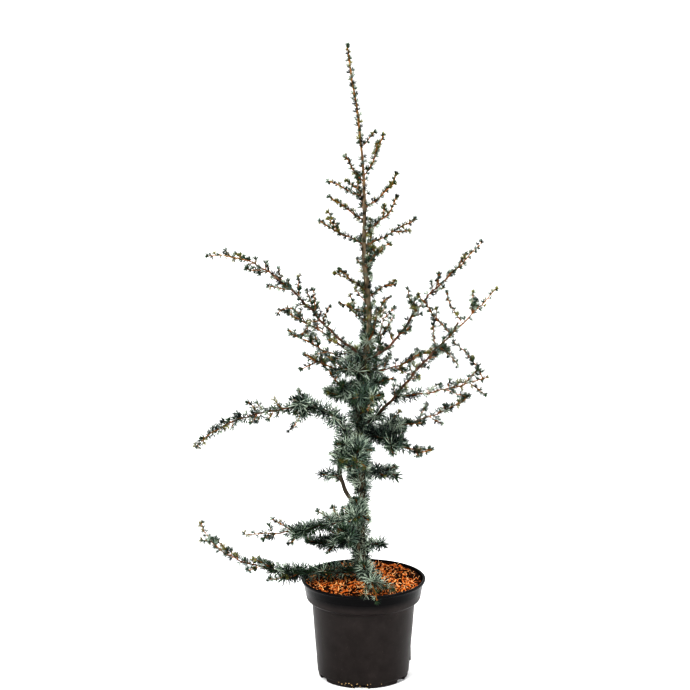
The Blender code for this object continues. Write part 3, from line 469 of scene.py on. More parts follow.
# name, density, least and greatest size, tilt, dark and light colour
LITTER = (
    ("shreds_dark", 8000.0, (0.004, 0.0012, 0.0008), (0.012, 0.0034, 0.0018), 0.6,
     (0.006, 0.0025, 0.0015), (0.036, 0.012, 0.005)),
    ("shreds_rust", 14500.0, (0.004, 0.0012, 0.0008), (0.014, 0.0032, 0.0018), 0.9,
     (0.300, 0.076, 0.016), (0.760, 0.240, 0.055)),
    ("shreds_tan", 7500.0, (0.004, 0.0010, 0.0007), (0.015, 0.0026, 0.0015), 1.0,
     (0.640, 0.270, 0.090), (0.920, 0.520, 0.230)),
    ("chips_bark", 1300.0, (0.005, 0.0040, 0.0010), (0.013, 0.0085, 0.0024), 0.5,
     (0.016, 0.006, 0.003), (0.120, 0.042, 0.016)),
    ("fibres_pale", 3400.0, (0.007, 0.0006, 0.0006), (0.022, 0.0011, 0.0009), 1.0,
     (0.700, 0.380, 0.170), (0.940, 0.660, 0.390)),
)
for order, (name, *rule) in enumerate(LITTER):
    strew("soil_" + name, top_of_bed(bed_radius - STREW_INSET, STREW_DEPTH), 11 + order, *rule)

# Crumbs that have washed out and stuck in the front notch and on the foot of the wall beside it.
# Each strip of wall runs from one heading to another in degrees, at a radius and between two heights.
CRUMB_STRIPS = ((258, 277, 0.0895, 0.0024, 0.008), (236, 298, 0.1032, 0.003, 0.012))
crumb_base = bpy.data.meshes.new("crumb_base")
verts, faces = [], []
for starts, ends, reach, floor_z, top_z in CRUMB_STRIPS:
    for heading in range(starts, ends, 4):
        way = Matrix.Rotation(math.radians(heading), 3, "Z") @ Vector((reach, 0, 0))
        verts += [(way.x, way.y, floor_z), (way.x, way.y, top_z)]
        if heading > starts:
            faces.append(tuple(len(verts) - k for k in (4, 2, 1, 3)))
crumb_base.from_pydata(verts, [], faces)
strew("soil_crumbs", crumb_base, 5, 16000.0, (0.0010, 0.0008, 0.0008), (0.0032, 0.0022, 0.0017), 1.5,
      (0.10, 0.045, 0.020), (0.70, 0.52, 0.27))

# ---------------------------------------------------------------- Trunk and boughs
# One living stem, leaning and bending as it was trained up, with a flare at the soil and grey-brown bark that
# turns orange-brown towards the tip. The boughs leave it from swollen collars and taper as one limb each.

# height above the soil, x, y
TRUNK_BENDS = (
    (0.000, -0.003, 0.000), (0.012, -0.003, 0.000), (0.100, -0.006, 0.003), (0.175, -0.006, 0.004),
    (0.235, -0.002, 0.002), (0.300, -0.006, -0.002), (0.420, -0.014, -0.004), (0.480, -0.004, -0.005),
    (0.540, 0.007, -0.004), (0.600, 0.012, 0.000), (0.670, 0.007, 0.004), (0.735, 0.000, 0.005),
    (0.830, 0.001, 0.002), (0.930, -0.002, 0.000), (1.000, -0.009, -0.003), (1.070, -0.017, -0.002),
    (1.110, -0.025, 0.000), (1.195, -0.036, 0.002))
# distance along the trunk, width
TRUNK_WIDTHS = (
    (0.000, 0.0270), (0.012, 0.0220), (0.035, 0.0195), (0.190, 0.0150), (0.660, 0.0105),
    (0.780, 0.0085), (0.930, 0.0052), (1.020, 0.0045), (1.195, 0.0018))
TRUNK = "trunk"
RISER = "left_riser"
LEADER = "leader"
# A limb leaves the trunk at a distance, and another limb at a share of its length. It has a heading, a turn
# and four pitches along it in degrees, and the shares of its length that are bare and densely needled.
Limb = namedtuple("Limb", "name carrier at heading turn length pitch width bare dense twigs")
LIMBS = (
    # Low limbs, from the foot to the long arch on the left.
    Limb("lowest_left", TRUNK, 0.022, 192, -14, 0.408, (-1, 4, 19, 68), 0.0060, 0.14, 0.35, 2),
    Limb("rim_hanger", TRUNK, 0.036, 281, 0, 0.172, (2, -4, -12, -34), 0.0040, 0.00, 0.60, 1),
    Limb("back_lowest", TRUNK, 0.055, 98, 12, 0.280, (8, 2, 8, 22), 0.0050, 0.00, 0.45, 3),
    Limb("low_left_back", TRUNK, 0.091, 148, 0, 0.162, (-8, -13, -14, 52), 0.0040, 0.00, 0.70, 2),
    Limb("foot_right", TRUNK, 0.080, 335, 0, 0.052, (10, 12, 8, 0), 0.0030, 0.00, 1.00, 0),
    Limb("foot_front", TRUNK, 0.104, 238, 0, 0.080, (12, 6, 0, -8), 0.0030, 0.00, 1.00, 1),
    Limb("low_left", TRUNK, 0.141, 176, 12, 0.266, (-7, -14, -5, 3), 0.0050, 0.14, 0.45, 1),
    Limb("low_front", TRUNK, 0.176, 264, -8, 0.160, (16, 2, -6, 4), 0.0042, 0.00, 0.80, 2),
    Limb("back_low", TRUNK, 0.205, 104, -14, 0.300, (24, 8, 2, 12), 0.0055, 0.00, 0.45, 3),
    Limb(RISER, TRUNK, 0.166, 200, 0, 0.188, (41, 63, 93, 118), 0.0100, 1.00, 0.00, 0),
    Limb("riser_left", RISER, 0.50, 170, 0, 0.042, (17, 6, 5, 6), 0.0030, 0.00, 1.00, 0),
    Limb("riser_front", RISER, 0.69, 320, 0, 0.066, (5, 15, 12, 12), 0.0030, 0.00, 1.00, 0),
    Limb("right_lower", TRUNK, 0.249, 340, 0, 0.082, (19, 23, -20, -18), 0.0035, 0.00, 1.00, 1),
    Limb("left_arch", RISER, 1.00, 196, -10, 0.392, (75, 0, -14, -44), 0.0066, 0.10, 0.40, 1),
    # Middle limbs.
    Limb("right_low_front", TRUNK, 0.334, 318, 14, 0.197, (24, -8, -17, 24), 0.0042, 0.00, 0.60, 2),
    Limb("right_low_back", TRUNK, 0.342, 22, -16, 0.272, (-4, 13, 17, 37), 0.0045, 0.00, 0.35, 3),
    Limb("right_main", TRUNK, 0.351, 340, 10, 0.453, (39, 53, 45, 48), 0.0078, 0.28, 0.00, 1),
    Limb("right_fork", "right_main", 0.26, 350, 24, 0.208, (3, 11, 13, 19), 0.0040, 0.00, 0.20, 1),
    Limb("front_middle", TRUNK, 0.318, 262, 12, 0.240, (22, -2, -8, 6), 0.0050, 0.00, 0.70, 3),
    Limb("back_middle", TRUNK, 0.372, 70, 14, 0.350, (34, 38, 40, 34), 0.0060, 0.14, 0.30, 3),
    Limb("left_front_short", TRUNK, 0.412, 234, 0, 0.142, (35, 38, 45, 42), 0.0035, 0.00, 0.50, 1),
    Limb("front_upper", TRUNK, 0.432, 284, 0, 0.150, (24, 6, -4, 4), 0.0040, 0.00, 0.80, 2),
    Limb("left_tuft", TRUNK, 0.424, 168, 0, 0.068, (8, 8, 11, 11), 0.0030, 0.00, 1.00, 1),
    Limb("right_front_short", TRUNK, 0.448, 318, 0, 0.106, (5, 23, 24, 24), 0.0032, 0.00, 0.60, 1),
    Limb("left_front", TRUNK, 0.480, 214, 0, 0.167, (23, 10, 28, 32), 0.0040, 0.00, 0.25, 2),
    Limb("right_back", TRUNK, 0.487, 26, 0, 0.190, (-10, 6, 20, 27), 0.0040, 0.00, 0.20, 2),
    Limb("left_middle", TRUNK, 0.494, 144, 10, 0.206, (18, 11, 22, 23), 0.0040, 0.00, 0.25, 1),
    Limb("right_upper", TRUNK, 0.508, 352, 12, 0.374, (23, 60, 42, 50), 0.0060, 0.12, 0.12, 2),
    Limb("left_under", TRUNK, 0.515, 160, 0, 0.212, (12, 36, 23, 25), 0.0042, 0.00, 0.15, 1),
    Limb("left_upper", TRUNK, 0.518, 202, -16, 0.440, (32, 50, 38, -4), 0.0066, 0.12, 0.10, 1),
    Limb("back_upper", TRUNK, 0.536, 94, -12, 0.300, (38, 44, 44, 38), 0.0050, 0.00, 0.15, 3),
    # Upper shoots.
    Limb("shoot_01", TRUNK, 0.548, 304, 0, 0.140, (50, 68, 60, 27), 0.0038, 0.00, 0.10, 1),
    Limb("shoot_02", TRUNK, 0.619, 140, 0, 0.082, (-7, 10, 9, 6), 0.0032, 0.00, 0.00, 1),
    Limb("shoot_03", TRUNK, 0.651, 48, 0, 0.095, (18, 17, 13, 12), 0.0032, 0.00, 0.00, 1),
    Limb("shoot_04", TRUNK, 0.668, 226, 0, 0.107, (18, 34, 36, 24), 0.0034, 0.00, 0.00, 1),
    Limb("shoot_05", TRUNK, 0.690, 80, 10, 0.180, (34, 42, 40, 34), 0.0036, 0.00, 0.00, 1),
    Limb("shoot_06", TRUNK, 0.717, 296, 0, 0.137, (38, 33, 27, 25), 0.0034, 0.00, 0.00, 1),
    Limb("shoot_07", TRUNK, 0.765, 8, 0, 0.127, (18, 29, 28, 31), 0.0034, 0.00, 0.00, 1),
    Limb("shoot_08", TRUNK, 0.767, 178, 0, 0.111, (33, 24, 25, 46), 0.0034, 0.00, 0.00, 1),
    Limb("shoot_09", TRUNK, 0.799, 318, 0, 0.126, (20, 34, 43, 74), 0.0032, 0.00, 0.00, 1),
    Limb("shoot_10", TRUNK, 0.822, 204, 0, 0.101, (28, 39, 32, 39), 0.0030, 0.00, 0.00, 1),
    Limb("shoot_11", TRUNK, 0.842, 102, 0, 0.115, (34, 38, 40, 44), 0.0030, 0.00, 0.00, 1),
    Limb("shoot_12", TRUNK, 0.848, 28, 0, 0.109, (32, 31, 46, 69), 0.0030, 0.00, 0.00, 1),
    Limb("shoot_13", TRUNK, 0.872, 168, 0, 0.088, (22, 25, 24, 22), 0.0028, 0.00, 0.00, 0),
    Limb("shoot_14", TRUNK, 0.907, 226, 0, 0.084, (31, 49, 50, 50), 0.0026, 0.00, 0.00, 0),
    Limb("shoot_15", TRUNK, 0.919, 330, 0, 0.105, (45, 66, 65, 70), 0.0026, 0.00, 0.00, 1),
)
Fork = namedtuple("Fork", "carrier at heading turn length pitch")
FORKS = (
    Fork("lowest_left", 0.30, 222, 0, 0.066, (-30, -4, 4, 4)),
    Fork("lowest_left", 0.40, 130, 0, 0.056, (4, 16, 8, 4)),
    Fork("low_left", 0.12, 160, 0, 0.044, (55, 42, 36, 35)),
    Fork("low_left", 0.42, 215, 0, 0.046, (-36, -34, -30, -28)),
    Fork("left_arch", 0.25, 235, 0, 0.076, (-40, -34, -30, -30)),
    Fork("left_arch", 0.22, 150, 0, 0.046, (20, 45, 60, 55)),
    Fork("left_arch", 0.56, 140, 0, 0.036, (20, 50, 45, 30)),
    Fork("right_main", 0.56, 200, 0, 0.120, (46, 48, 54, 50)),
    Fork("right_main", 0.67, 150, 0, 0.078, (45, 50, 66, 76)),
    Fork("right_main", 0.76, 60, 0, 0.048, (80, 84, 90, 96)),
    Fork("right_main", 0.42, 110, 0, 0.052, (60, 64, 76, 82)),
    Fork("right_main", 0.43, 300, 0, 0.088, (0, -6, -30, -26)),
    Fork("right_fork", 0.95, 130, 30, 0.106, (65, 48, 36, 36)),
    Fork("right_fork", 0.80, 330, 0, 0.044, (-30, -20, -34, -42)),
    Fork("right_upper", 0.36, 100, 0, 0.090, (12, 16, 24, 48)),
    Fork("right_upper", 0.16, 300, 0, 0.056, (34, 26, 28, 34)),
    Fork("right_upper", 0.57, 60, 0, 0.034, (54, 62, 66, 68)),
    Fork("left_under", 0.74, 175, 0, 0.082, (78, 40, 0, -42)),
    Fork("left_under", 0.70, 230, 0, 0.032, (-46, -40, -32, -30)),
    Fork("left_middle", 0.42, 220, 0, 0.040, (24, 2, 6, 8)),
    Fork("left_middle", 0.64, 120, 0, 0.048, (40, 36, 20, 16)),
    Fork("left_upper", 0.66, 215, 0, 0.046, (4, 4, 10, 12)),
    Fork("left_upper", 0.53, 150, 0, 0.034, (68, 70, 80, 84)),
    Fork("left_upper", 0.47, 215, 0, 0.062, (2, 10, 18, 20)),
    Fork("left_upper", 0.40, 120, 0, 0.046, (84, 86, 86, 84)),
    Fork("left_upper", 0.25, 250, 0, 0.066, (70, 66, 72, 74)),
    Fork("left_upper", 0.20, 40, 0, 0.040, (72, 58, 62, 64)),
    Fork("shoot_08", 0.52, 150, 0, 0.054, (72, 60, 57, 56)),
    Fork(LEADER, 0.05, 12, 0, 0.044, (30, 48, 47, 46)),
)
LIMB_STEP = 0.006
SWAY_ANGLE = 7.0
SWAY_LENGTH = 0.055
TIP_WIDTH = 0.0016
TAPER = 0.22
RISER_TAPER = 0.78
# Wood swells where a limb leaves it: within a reach, by a share of its radius that falls off with distance.
SWELL_REACH = 0.016
SWELL_FALL = 0.007
SWELL_SHARE = 0.16
# How many ridges and ring scars the bark has to the metre.
RIDGES = 55
SCARS = 240


def along(rows, place):
    """The value at a place in rows of (place, value), straight between them."""
    for (low, start), (high, end) in zip(rows, rows[1:]):
        if place <= high:
            return start + (end - start) * max(0.0, place - low) / (high - low)
    return rows[-1][1]


def smooth_through(rows, step):
    """Points every step or so on a smooth curve through rows of (height, x, y)."""
    points = []
    for index in range(len(rows) - 1):
        near = [Vector(rows[min(max(index + k, 0), len(rows) - 1)]) for k in (-1, 0, 1, 2)]
        count = max(1, round((near[2].x - near[1].x) / step))
        for k in range(count):
            t = k / count
            points.append(
                near[1] * (2 * t**3 - 3 * t**2 + 1) + (near[2] - near[0]) / 2 * (t**3 - 2 * t**2 + t)
                + near[2] * (3 * t**2 - 2 * t**3) + (near[3] - near[1]) / 2 * (t**3 - t**2))
    points.append(Vector(rows[-1]))
    return [Vector((p.y, p.z, GROUND + p.x)) for p in points]


def aim(heading, pitch):
    """The unit vector with this heading and pitch in degrees."""
    flat = math.cos(math.radians(pitch))
    turn = math.radians(heading)
    return Vector((flat * math.cos(turn), flat * math.sin(turn), math.sin(math.radians(pitch))))


def course_of(limb, start):
    """Points from the start to the tip of the limb, a step apart."""
    wander = random.Random(f"{limb.carrier} {limb.at} {limb.heading}")
    phases = [wander.uniform(0, math.tau) for _ in range(4)]
    count = max(4, round(limb.length / LIMB_STEP))
    step = limb.length / count
    points = [start.copy()]
    for index in range(count):
        share = (index + 0.5) / count
        wave = math.tau * share * limb.length / SWAY_LENGTH
        side = math.sin(wave + phases[0]) + 0.5 * math.sin(1.7 * wave + phases[1])
        lift = math.sin(0.9 * wave + phases[2]) + 0.5 * math.sin(1.6 * wave + phases[3])
        loose = SWAY_ANGLE * min(1.0, 4 * share)
        heading = limb.heading + limb.turn * share + loose * side
        pitch = along(list(zip((0.0, 1 / 3, 2 / 3, 1.0), limb.pitch)), share)
        points.append(points[-1] + step * aim(heading, pitch + loose * lift))
    return points


def length_of(points):
    return sum((there - here).length for here, there in zip(points, points[1:]))


def point_at(points, distance):
    """The point and the direction at a distance along a course."""
    for here, there in zip(points, points[1:]):
        length = (there - here).length
        if distance <= length:
            return here.lerp(there, distance / length), (there - here).normalized()
        distance -= length
    return points[-1].copy(), (points[-1] - points[-2]).normalized()


class Wood:
    """A limb, shoot or twig: its course, its widths at both ends, how much is bare and how much is dense."""

    def __init__(self, owner, points, root_width, tip_width, bare=0.0, dense=0.0):
        self.owner = owner
        self.points = points
        self.root_width = root_width
        self.tip_width = tip_width
        self.length = length_of(points)
        self.bare = bare
        self.dense = dense

    def radius(self, distance):
        share = min(1.0, distance / self.length)
        return (self.root_width * (1 - share) + self.tip_width * share) / 2


trunk_course = smooth_through(TRUNK_BENDS, LIMB_STEP)
trunk = Wood(TRUNK, trunk_course, 0, 0)
trunk.radius = lambda distance: along(TRUNK_WIDTHS, distance) / 2
limbs = {TRUNK: trunk}
for limb in LIMBS:
    carrier = limbs[limb.carrier]
    reach = 1 if limb.carrier == TRUNK else carrier.length
    root = point_at(carrier.points, limb.at * reach)[0]
    tip_width = limb.width * RISER_TAPER if limb.name == RISER else max(TIP_WIDTH, limb.width * TAPER)
    hidden = 0.0 if limb.at == 1 else carrier.radius(limb.at * reach)
    wood = Wood(limb.name, course_of(limb, root), limb.width, tip_width,
                max(hidden, limb.bare * limb.length), limb.dense * limb.length)
    wood.rule = limb
    limbs[limb.name] = wood

collars = KDTree(len(LIMBS))
for index, limb in enumerate(LIMBS):
    collars.insert(limbs[limb.name].points[0], index)
collars.balance()


def frames_along(points, step):
    """Places on a course a step apart, each (distance, point, direction, two vectors across)."""
    total = length_of(points)
    count = max(3, round(total / step))
    rows = []
    across = None
    for index in range(count + 1):
        distance = total * index / count
        place, way = point_at(points, min(distance, total - 1e-6))
        if across is None:
            across = way.orthogonal().normalized()
        across = (across - way * across.dot(way)).normalized()
        rows.append((distance, place, way, across, way.cross(across)))
    return rows


def youth(share, starts, ends):
    """From 0 on old wood to 1 on the season's growth, between two shares of a limb's length."""
    return min(1.0, max(0.0, (share - starts) / (ends - starts)))


def store(mesh, key, values):
    """Numbers stored on the mesh's points."""
    mesh.attributes.new(key, "FLOAT", "POINT").data.foreach_set("value", values)


def bark_mesh(wood, sides, step, relief, grain, seed, turns_young, dome=1.0):
    """A closed tapering limb with long ridges, small scars and swollen collars in its surface."""
    verts, faces, young = [], [], []
    rows = frames_along(wood.points, step)
    for distance, place, way, across, side in rows:
        radius = wood.radius(distance)
        gap = collars.find(place)[2]
        swell = SWELL_SHARE * radius * math.exp(-((gap / SWELL_FALL) ** 2)) if gap < SWELL_REACH else 0.0
        for spoke in range(sides):
            turn = math.tau * spoke / sides
            out_way = across * math.cos(turn) + side * math.sin(turn)
            sample = Vector((math.cos(turn) * grain, math.sin(turn) * grain, distance * RIDGES + seed))
            ridge = noise.noise(sample) + 0.5 * noise.noise(sample * 2.3)
            ring = noise.noise(Vector((math.cos(turn), math.sin(turn), distance * SCARS + seed)))
            verts.append(place + out_way * (radius * (1 + relief * ridge + 0.4 * relief * ring) + swell))
            young.append(youth(distance / wood.length, *turns_young))
    last = (len(rows) - 1) * sides
    for first in range(0, last, sides):
        for spoke in range(sides):
            a, b = first + spoke, first + (spoke + 1) % sides
            faces.append((a, b, b + sides, a + sides))
    verts += [rows[0][1], rows[-1][1] + rows[-1][2] * wood.radius(wood.length) * dome]
    for spoke in range(sides):
        after = (spoke + 1) % sides
        faces.append((len(verts) - 2, after, spoke))
        faces.append((len(verts) - 1, last + spoke, last + after))
    mesh = bpy.data.meshes.new(wood.owner)
    mesh.from_pydata(verts, [], faces)
    store(mesh, "young", young + [young[0], young[-1]])
    mesh.shade_smooth()
    return mesh


def add_youth(tree, old, young):
    """Colours of old wood that turn to those of young wood along a limb."""
    share = add_node(tree, "ShaderNodeAttribute", attribute_name="young")
    return add_mix(tree, share.outputs["Fac"], old, young)


def bark_material(name, low, middle, high):
    """Bark: long streaks of three tones and fine cracks, and thinner and brighter on the young wood."""
    material, tree, shader = shader_of(name)
    streaks = add_noise(tree, 95, 7, (1, 1, 0.22), 0.65)
    blotches = add_ramp(tree, add_noise(tree, 34), [(0.40, (0, 0, 0)), (0.70, (0.6, 0.6, 0.6))])
    streaked = add_ramp(tree, streaks, [(0.34, low), (0.52, middle), (0.70, high)])
    fresh = add_ramp(tree, streaks, [(0.36, YOUNG_LOW), (0.62, YOUNG_HIGH)])
    colour_by(tree, shader, add_youth(tree, add_mix(tree, blotches, streaked, middle), fresh))
    add_bump(tree, shader, streaks, 0.6, 0.0015)
    return material


YOUNG_LOW = (0.085, 0.036, 0.010)
YOUNG_HIGH = (0.320, 0.135, 0.028)
trunk_bark = bark_material("bark_trunk", (0.030, 0.022, 0.014), (0.105, 0.082, 0.054), (0.310, 0.260, 0.190))
riser_bark = bark_material("bark_riser", (0.012, 0.010, 0.008), (0.048, 0.038, 0.029), (0.330, 0.280, 0.210))
bough_bark = bark_material("bark_bough", (0.020, 0.010, 0.008), (0.080, 0.043, 0.030), (0.260, 0.165, 0.120))

# Between which shares of its length the bark turns young. The old wood has none of it.
TRUNK_TURNS_YOUNG = (0.70, 1.0)
BOUGH_TURNS_YOUNG = (0.60, 1.0)
NEVER_YOUNG = (2.0, 3.0)
trunk_mesh = bark_mesh(trunk, sides=36, step=0.0022, relief=0.085, grain=2.6, seed=0,
                       turns_young=TRUNK_TURNS_YOUNG)
ride_as(piece_from("trunk_with_bark", trunk_mesh, trunk_bark), "trunk_bark", TRUNK)
for order, limb in enumerate(LIMBS):
    if limb.bare > 0:
        is_old = limb.name == RISER
        mesh = bark_mesh(limbs[limb.name], sides=18, step=0.0024, relief=0.075, grain=2.0,
                         seed=3.7 * (order + 1), turns_young=NEVER_YOUNG if is_old else BOUGH_TURNS_YOUNG)
        bough = piece_from("limb_" + limb.name, mesh, riser_bark if is_old else bough_bark)
        ride_as(bough, "bough_bark", "bough_" + limb.name)

# A side limb of the main limb on the right was cut off and left a blunt stub.
STUB_AT = 0.70
STUB_LENGTH = 0.024
STUB_WIDTHS = (0.0056, 0.0050)
STUB_WAY = Vector((0.46, -0.05, 0.89)).normalized()
main = limbs["right_main"]
stub_root = point_at(main.points, main.length * STUB_AT)[0]
stub_points = [stub_root + STUB_WAY * STUB_LENGTH * k / 6 for k in range(7)]
stub = Wood("cut_stub", stub_points, *STUB_WIDTHS)
stub_mesh = bark_mesh(stub, sides=16, step=0.002, relief=0.09, grain=2.0, seed=91.0, turns_young=NEVER_YOUNG,
                      dome=0.15)
ride_as(piece_from("limb_cut_stub", stub_mesh, bough_bark), "bough_bark")

# ---------------------------------------------------------------- Shoots
# The younger wood: the thin limbs, their forks and twigs, and the stubby spurs that carry the tufts. They are
# orange-brown, straight-tapering and only a few millimetres thick, and each grows on from older wood.

TWIG_LENGTH = 0.058
SHORTEST_TWIG = 0.018
TWIG_WIDTH = 0.0017
TWIG_TIP_WIDTH = TIP_WIDTH * 0.8
FORK_WIDTH = 0.0021
THINNEST_LIMB = 0.0027
THINNEST_TWIG = 0.0020
SHOOT_TURNS_YOUNG = (0.30, 1.0)
# How a twig leaves its stem: its angle in degrees, its rise against its reach to the side, and its bend back.
TWIG_SPREAD = 52.0
TWIG_RISE = 0.35
TWIG_LIFT = 0.18
TWIG_BEND = 0.35
# Between which shares of a stem its twigs stand, and how often a place is looked for.
FIRST_TWIG = 0.18
LAST_TWIG = 0.86
TWIG_TRIES = 6
GOLDEN_TURN = math.radians(137.5)
# A twig is no longer than this share of the stem beyond it, and a little more.
TWIG_ROOM = (0.75, 0.012)
# How much of a twig or fork is bare, and densely needled where its stem is.
TWIG_BARE = 0.002
TWIG_DENSE = 0.6
FORK_DENSE = 0.02
# A limb longer than this has one twig more.
LONG_LIMB = 0.12
# How clear a twig stays of the pot, of other wood and of its own limb. Wood is marked a step apart.
POT_MARGIN = 0.006
RIM_BREADTH = 0.006
WOOD_CLEARANCE = 0.009
OWN_CLEARANCE = 0.004
WIDEST_MARK = 0.006
MARK_STEP = 0.004


def clear_of_pot(place, margin):
    """Whether a point is over the soil, or outside the pot and over the floor."""
    from_axis = math.hypot(place[0], place[1])
    if from_axis > RIM_RADIUS + margin:
        return place[2] > margin
    return place[2] > (POT_HEIGHT if from_axis > RIM_RADIUS - RIM_BREADTH else GROUND) + margin


class Space:
    """Knows all the wood, and tells where there is room for another twig."""

    def __init__(self, woods):
        self.marks = []
        for wood in woods:
            self.add(wood)
        self.rebuild()

    def add(self, wood):
        count = max(2, math.ceil(wood.length / MARK_STEP))
        for index in range(count + 1):
            distance = wood.length * index / count
            self.marks.append((point_at(wood.points, distance)[0], wood.owner, wood.radius(distance)))

    def rebuild(self):
        self.tree = KDTree(len(self.marks))
        for index, mark in enumerate(self.marks):
            self.tree.insert(mark[0], index)
        self.tree.balance()

    def free_for(self, owner, points):
        for index, place in enumerate(points):
            if not clear_of_pot(place, POT_MARGIN):
                return False
            for _, found, distance in self.tree.find_range(place, WOOD_CLEARANCE + WIDEST_MARK):
                _, other, radius = self.marks[found]
                if other != owner and distance < WOOD_CLEARANCE + radius:
                    return False
                if other == owner and index > 3 and distance < OWN_CLEARANCE:
                    return False
        return True


def twig_course(stem, distance, roll, length, dice):
    """A twig that leaves its stem at an angle and bends back a little towards the stem's way."""
    root, way = point_at(stem.points, distance)
    across = way.cross(Vector((0, 0, 1))).normalized()
    upward = across.cross(way).normalized()
    side = across * math.cos(roll) + upward * math.sin(roll) * TWIG_RISE
    side = (side.normalized() + Vector((0, 0, TWIG_LIFT))).normalized()
    spread = math.radians(TWIG_SPREAD + dice.uniform(-8, 8))
    heading = (way * math.cos(spread) + side * math.sin(spread)).normalized()
    count = max(3, round(length / LIMB_STEP))
    points = [root]
    for index in range(count):
        points.append(points[-1] + heading.lerp(way, TWIG_BEND * index / count).normalized() * length / count)
    return points


def is_upper(name):
    """Whether this is one of the slender shoots of the top."""
    return name.startswith("shoot_") or name == LEADER


# The top of the trunk is the leader, and it bears needles and forks as a limb does.
LEADER_HEIGHT = 0.965
LEADER_AT = 0.970
leader_course = [point for point in trunk_course if point.z > GROUND + LEADER_HEIGHT]
leader = Wood(LEADER, leader_course, trunk.radius(LEADER_AT) * 2, TIP_WIDTH)
leader.rule = Limb(LEADER, TRUNK, LEADER_AT, 0, 0, 0, (0, 0, 0, 0), 0, 0, 0, 0)
stems = [limbs[limb.name] for limb in LIMBS if limb.name != RISER] + [leader]
space = Space([trunk] + stems + [limbs[RISER]])
twigs = []
for stem in stems:
    limb = stem.rule
    dice = random.Random("twigs of " + limb.name)
    for fork in FORKS:
        if fork.carrier == limb.name:
            root = point_at(stem.points, stem.bare + fork.at * (stem.length - stem.bare))[0]
            dense = FORK_DENSE if fork.at * stem.length < stem.dense else 0.0
            twigs.append(Wood(limb.name, course_of(fork, root), FORK_WIDTH, TIP_WIDTH, TWIG_BARE, dense))
            space.add(twigs[-1])
    space.rebuild()
    roll = dice.uniform(0, math.tau)
    wanted = limb.twigs if is_upper(limb.name) else limb.twigs * 2 + (1 if limb.length > LONG_LIMB else 0)
    for number in range(wanted):
        share = FIRST_TWIG + (LAST_TWIG - FIRST_TWIG) * (number + 0.5) / wanted
        for _ in range(TWIG_TRIES):
            roll += GOLDEN_TURN
            place = stem.bare + (stem.length - stem.bare) * (share + dice.uniform(-0.05, 0.05))
            room = (stem.length - place) * TWIG_ROOM[0] + TWIG_ROOM[1]
            length = min(TWIG_LENGTH * dice.uniform(0.45, 1.1), room)
            points = twig_course(stem, place, roll, length, dice)
            if length > SHORTEST_TWIG and space.free_for(limb.name, points):
                dense = length * TWIG_DENSE if place < stem.dense else 0.0
                twigs.append(Wood(limb.name, points, TWIG_WIDTH, TWIG_TIP_WIDTH, TWIG_BARE, dense))
                space.add(twigs[-1])
                space.rebuild()
                break

shoots, given, put = new_tree("shoots", ("Sides", "Int"))
lines = put("GeometryNodeMeshToCurve", ("Mesh", given["Geometry"]))
half_width = put("GeometryNodeInputNamedAttribute", ("Name", "half_width"), data_type="FLOAT")
ring = put("GeometryNodeCurvePrimitiveCircle", ("Resolution", given["Sides"]), ("Radius", 1.0))
tubes = put("GeometryNodeCurveToMesh", ("Curve", lines), ("Profile Curve", ring), ("Scale", half_width),
            ("Fill Caps", True))
close_tree(put, given, put("GeometryNodeRealizeInstances", ("Geometry", tubes)))


def lines_mesh(name, courses):
    """Edges along each course, with half_width and young on their points. A course is rows of all three."""
    verts, edges, widths, young = [], [], [], []
    for rows in courses:
        for number, (place, half, share) in enumerate(rows):
            if number:
                edges.append((len(verts) - 1, len(verts)))
            verts.append(place)
            widths.append(half)
            young.append(share)
    mesh = bpy.data.meshes.new(name)
    mesh.from_pydata(verts, edges, [])
    store(mesh, "half_width", widths)
    store(mesh, "young", young)
    return mesh


def plain(mesh, *keep):
    """The mesh without the attributes that it was grown with, but for those to keep."""
    keep += ("position", "sharp_face", "sharp_edge", "material_index")
    spare = [a.name for a in mesh.attributes if not (a.is_internal or a.is_required or a.name in keep)]
    for name in spare:
        mesh.attributes.remove(mesh.attributes[name])
    return mesh


def shoot_material(name, dark, light):
    material, tree, shader = shader_of(name)
    rings = add_noise(tree, 210, 5)
    older = add_ramp(tree, rings, [(0.34, dark), (0.66, light)])
    newer = add_ramp(tree, rings, [(0.34, YOUNG_LOW), (0.66, YOUNG_HIGH)])
    colour_by(tree, shader, add_youth(tree, older, newer))
    add_bump(tree, shader, rings, 0.5, 0.0008)
    return material


def lumpy(wood, thinnest, dice):
    """Rows for lines_mesh along a shoot, a little uneven where needles have sat on it."""
    count = max(4, round(wood.length / MARK_STEP))
    rows = []
    for index in range(count + 1):
        distance = wood.length * index / count
        half = max(wood.radius(distance), thinnest / 2) * dice.uniform(0.94, 1.12)
        rows.append((point_at(wood.points, distance)[0], half, youth(index / count, *SHOOT_TURNS_YOUNG)))
    return rows


dice = random.Random("shoots")
foliage_nodes = sorted(name for name in nodes if name.startswith("foliage_"))
thin_limbs = [lumpy(wood, THINNEST_LIMB, dice) for wood in stems
              if wood.rule.bare == 0 and wood is not leader]
thin_twigs = [lumpy(wood, THINNEST_TWIG, dice) for wood in twigs]
older_wood = shoot_material("shoot_brown", (0.032, 0.012, 0.007), (0.215, 0.085, 0.032))
young_wood = shoot_material("shoot_orange", (0.090, 0.032, 0.011), (0.340, 0.135, 0.044))
for name, courses, sides, wood_material in (
    ("shoots_limbs", thin_limbs, 9, older_wood), ("shoots_twigs", thin_twigs, 7, young_wood)):
    mesh = grown(name, lines_mesh(name, courses), shoots, {"Sides": sides, "Material": wood_material})
    plain(mesh, "young").shade_smooth()
    ride_as(piece_from(name, mesh), "bough_bark", *foliage_nodes)

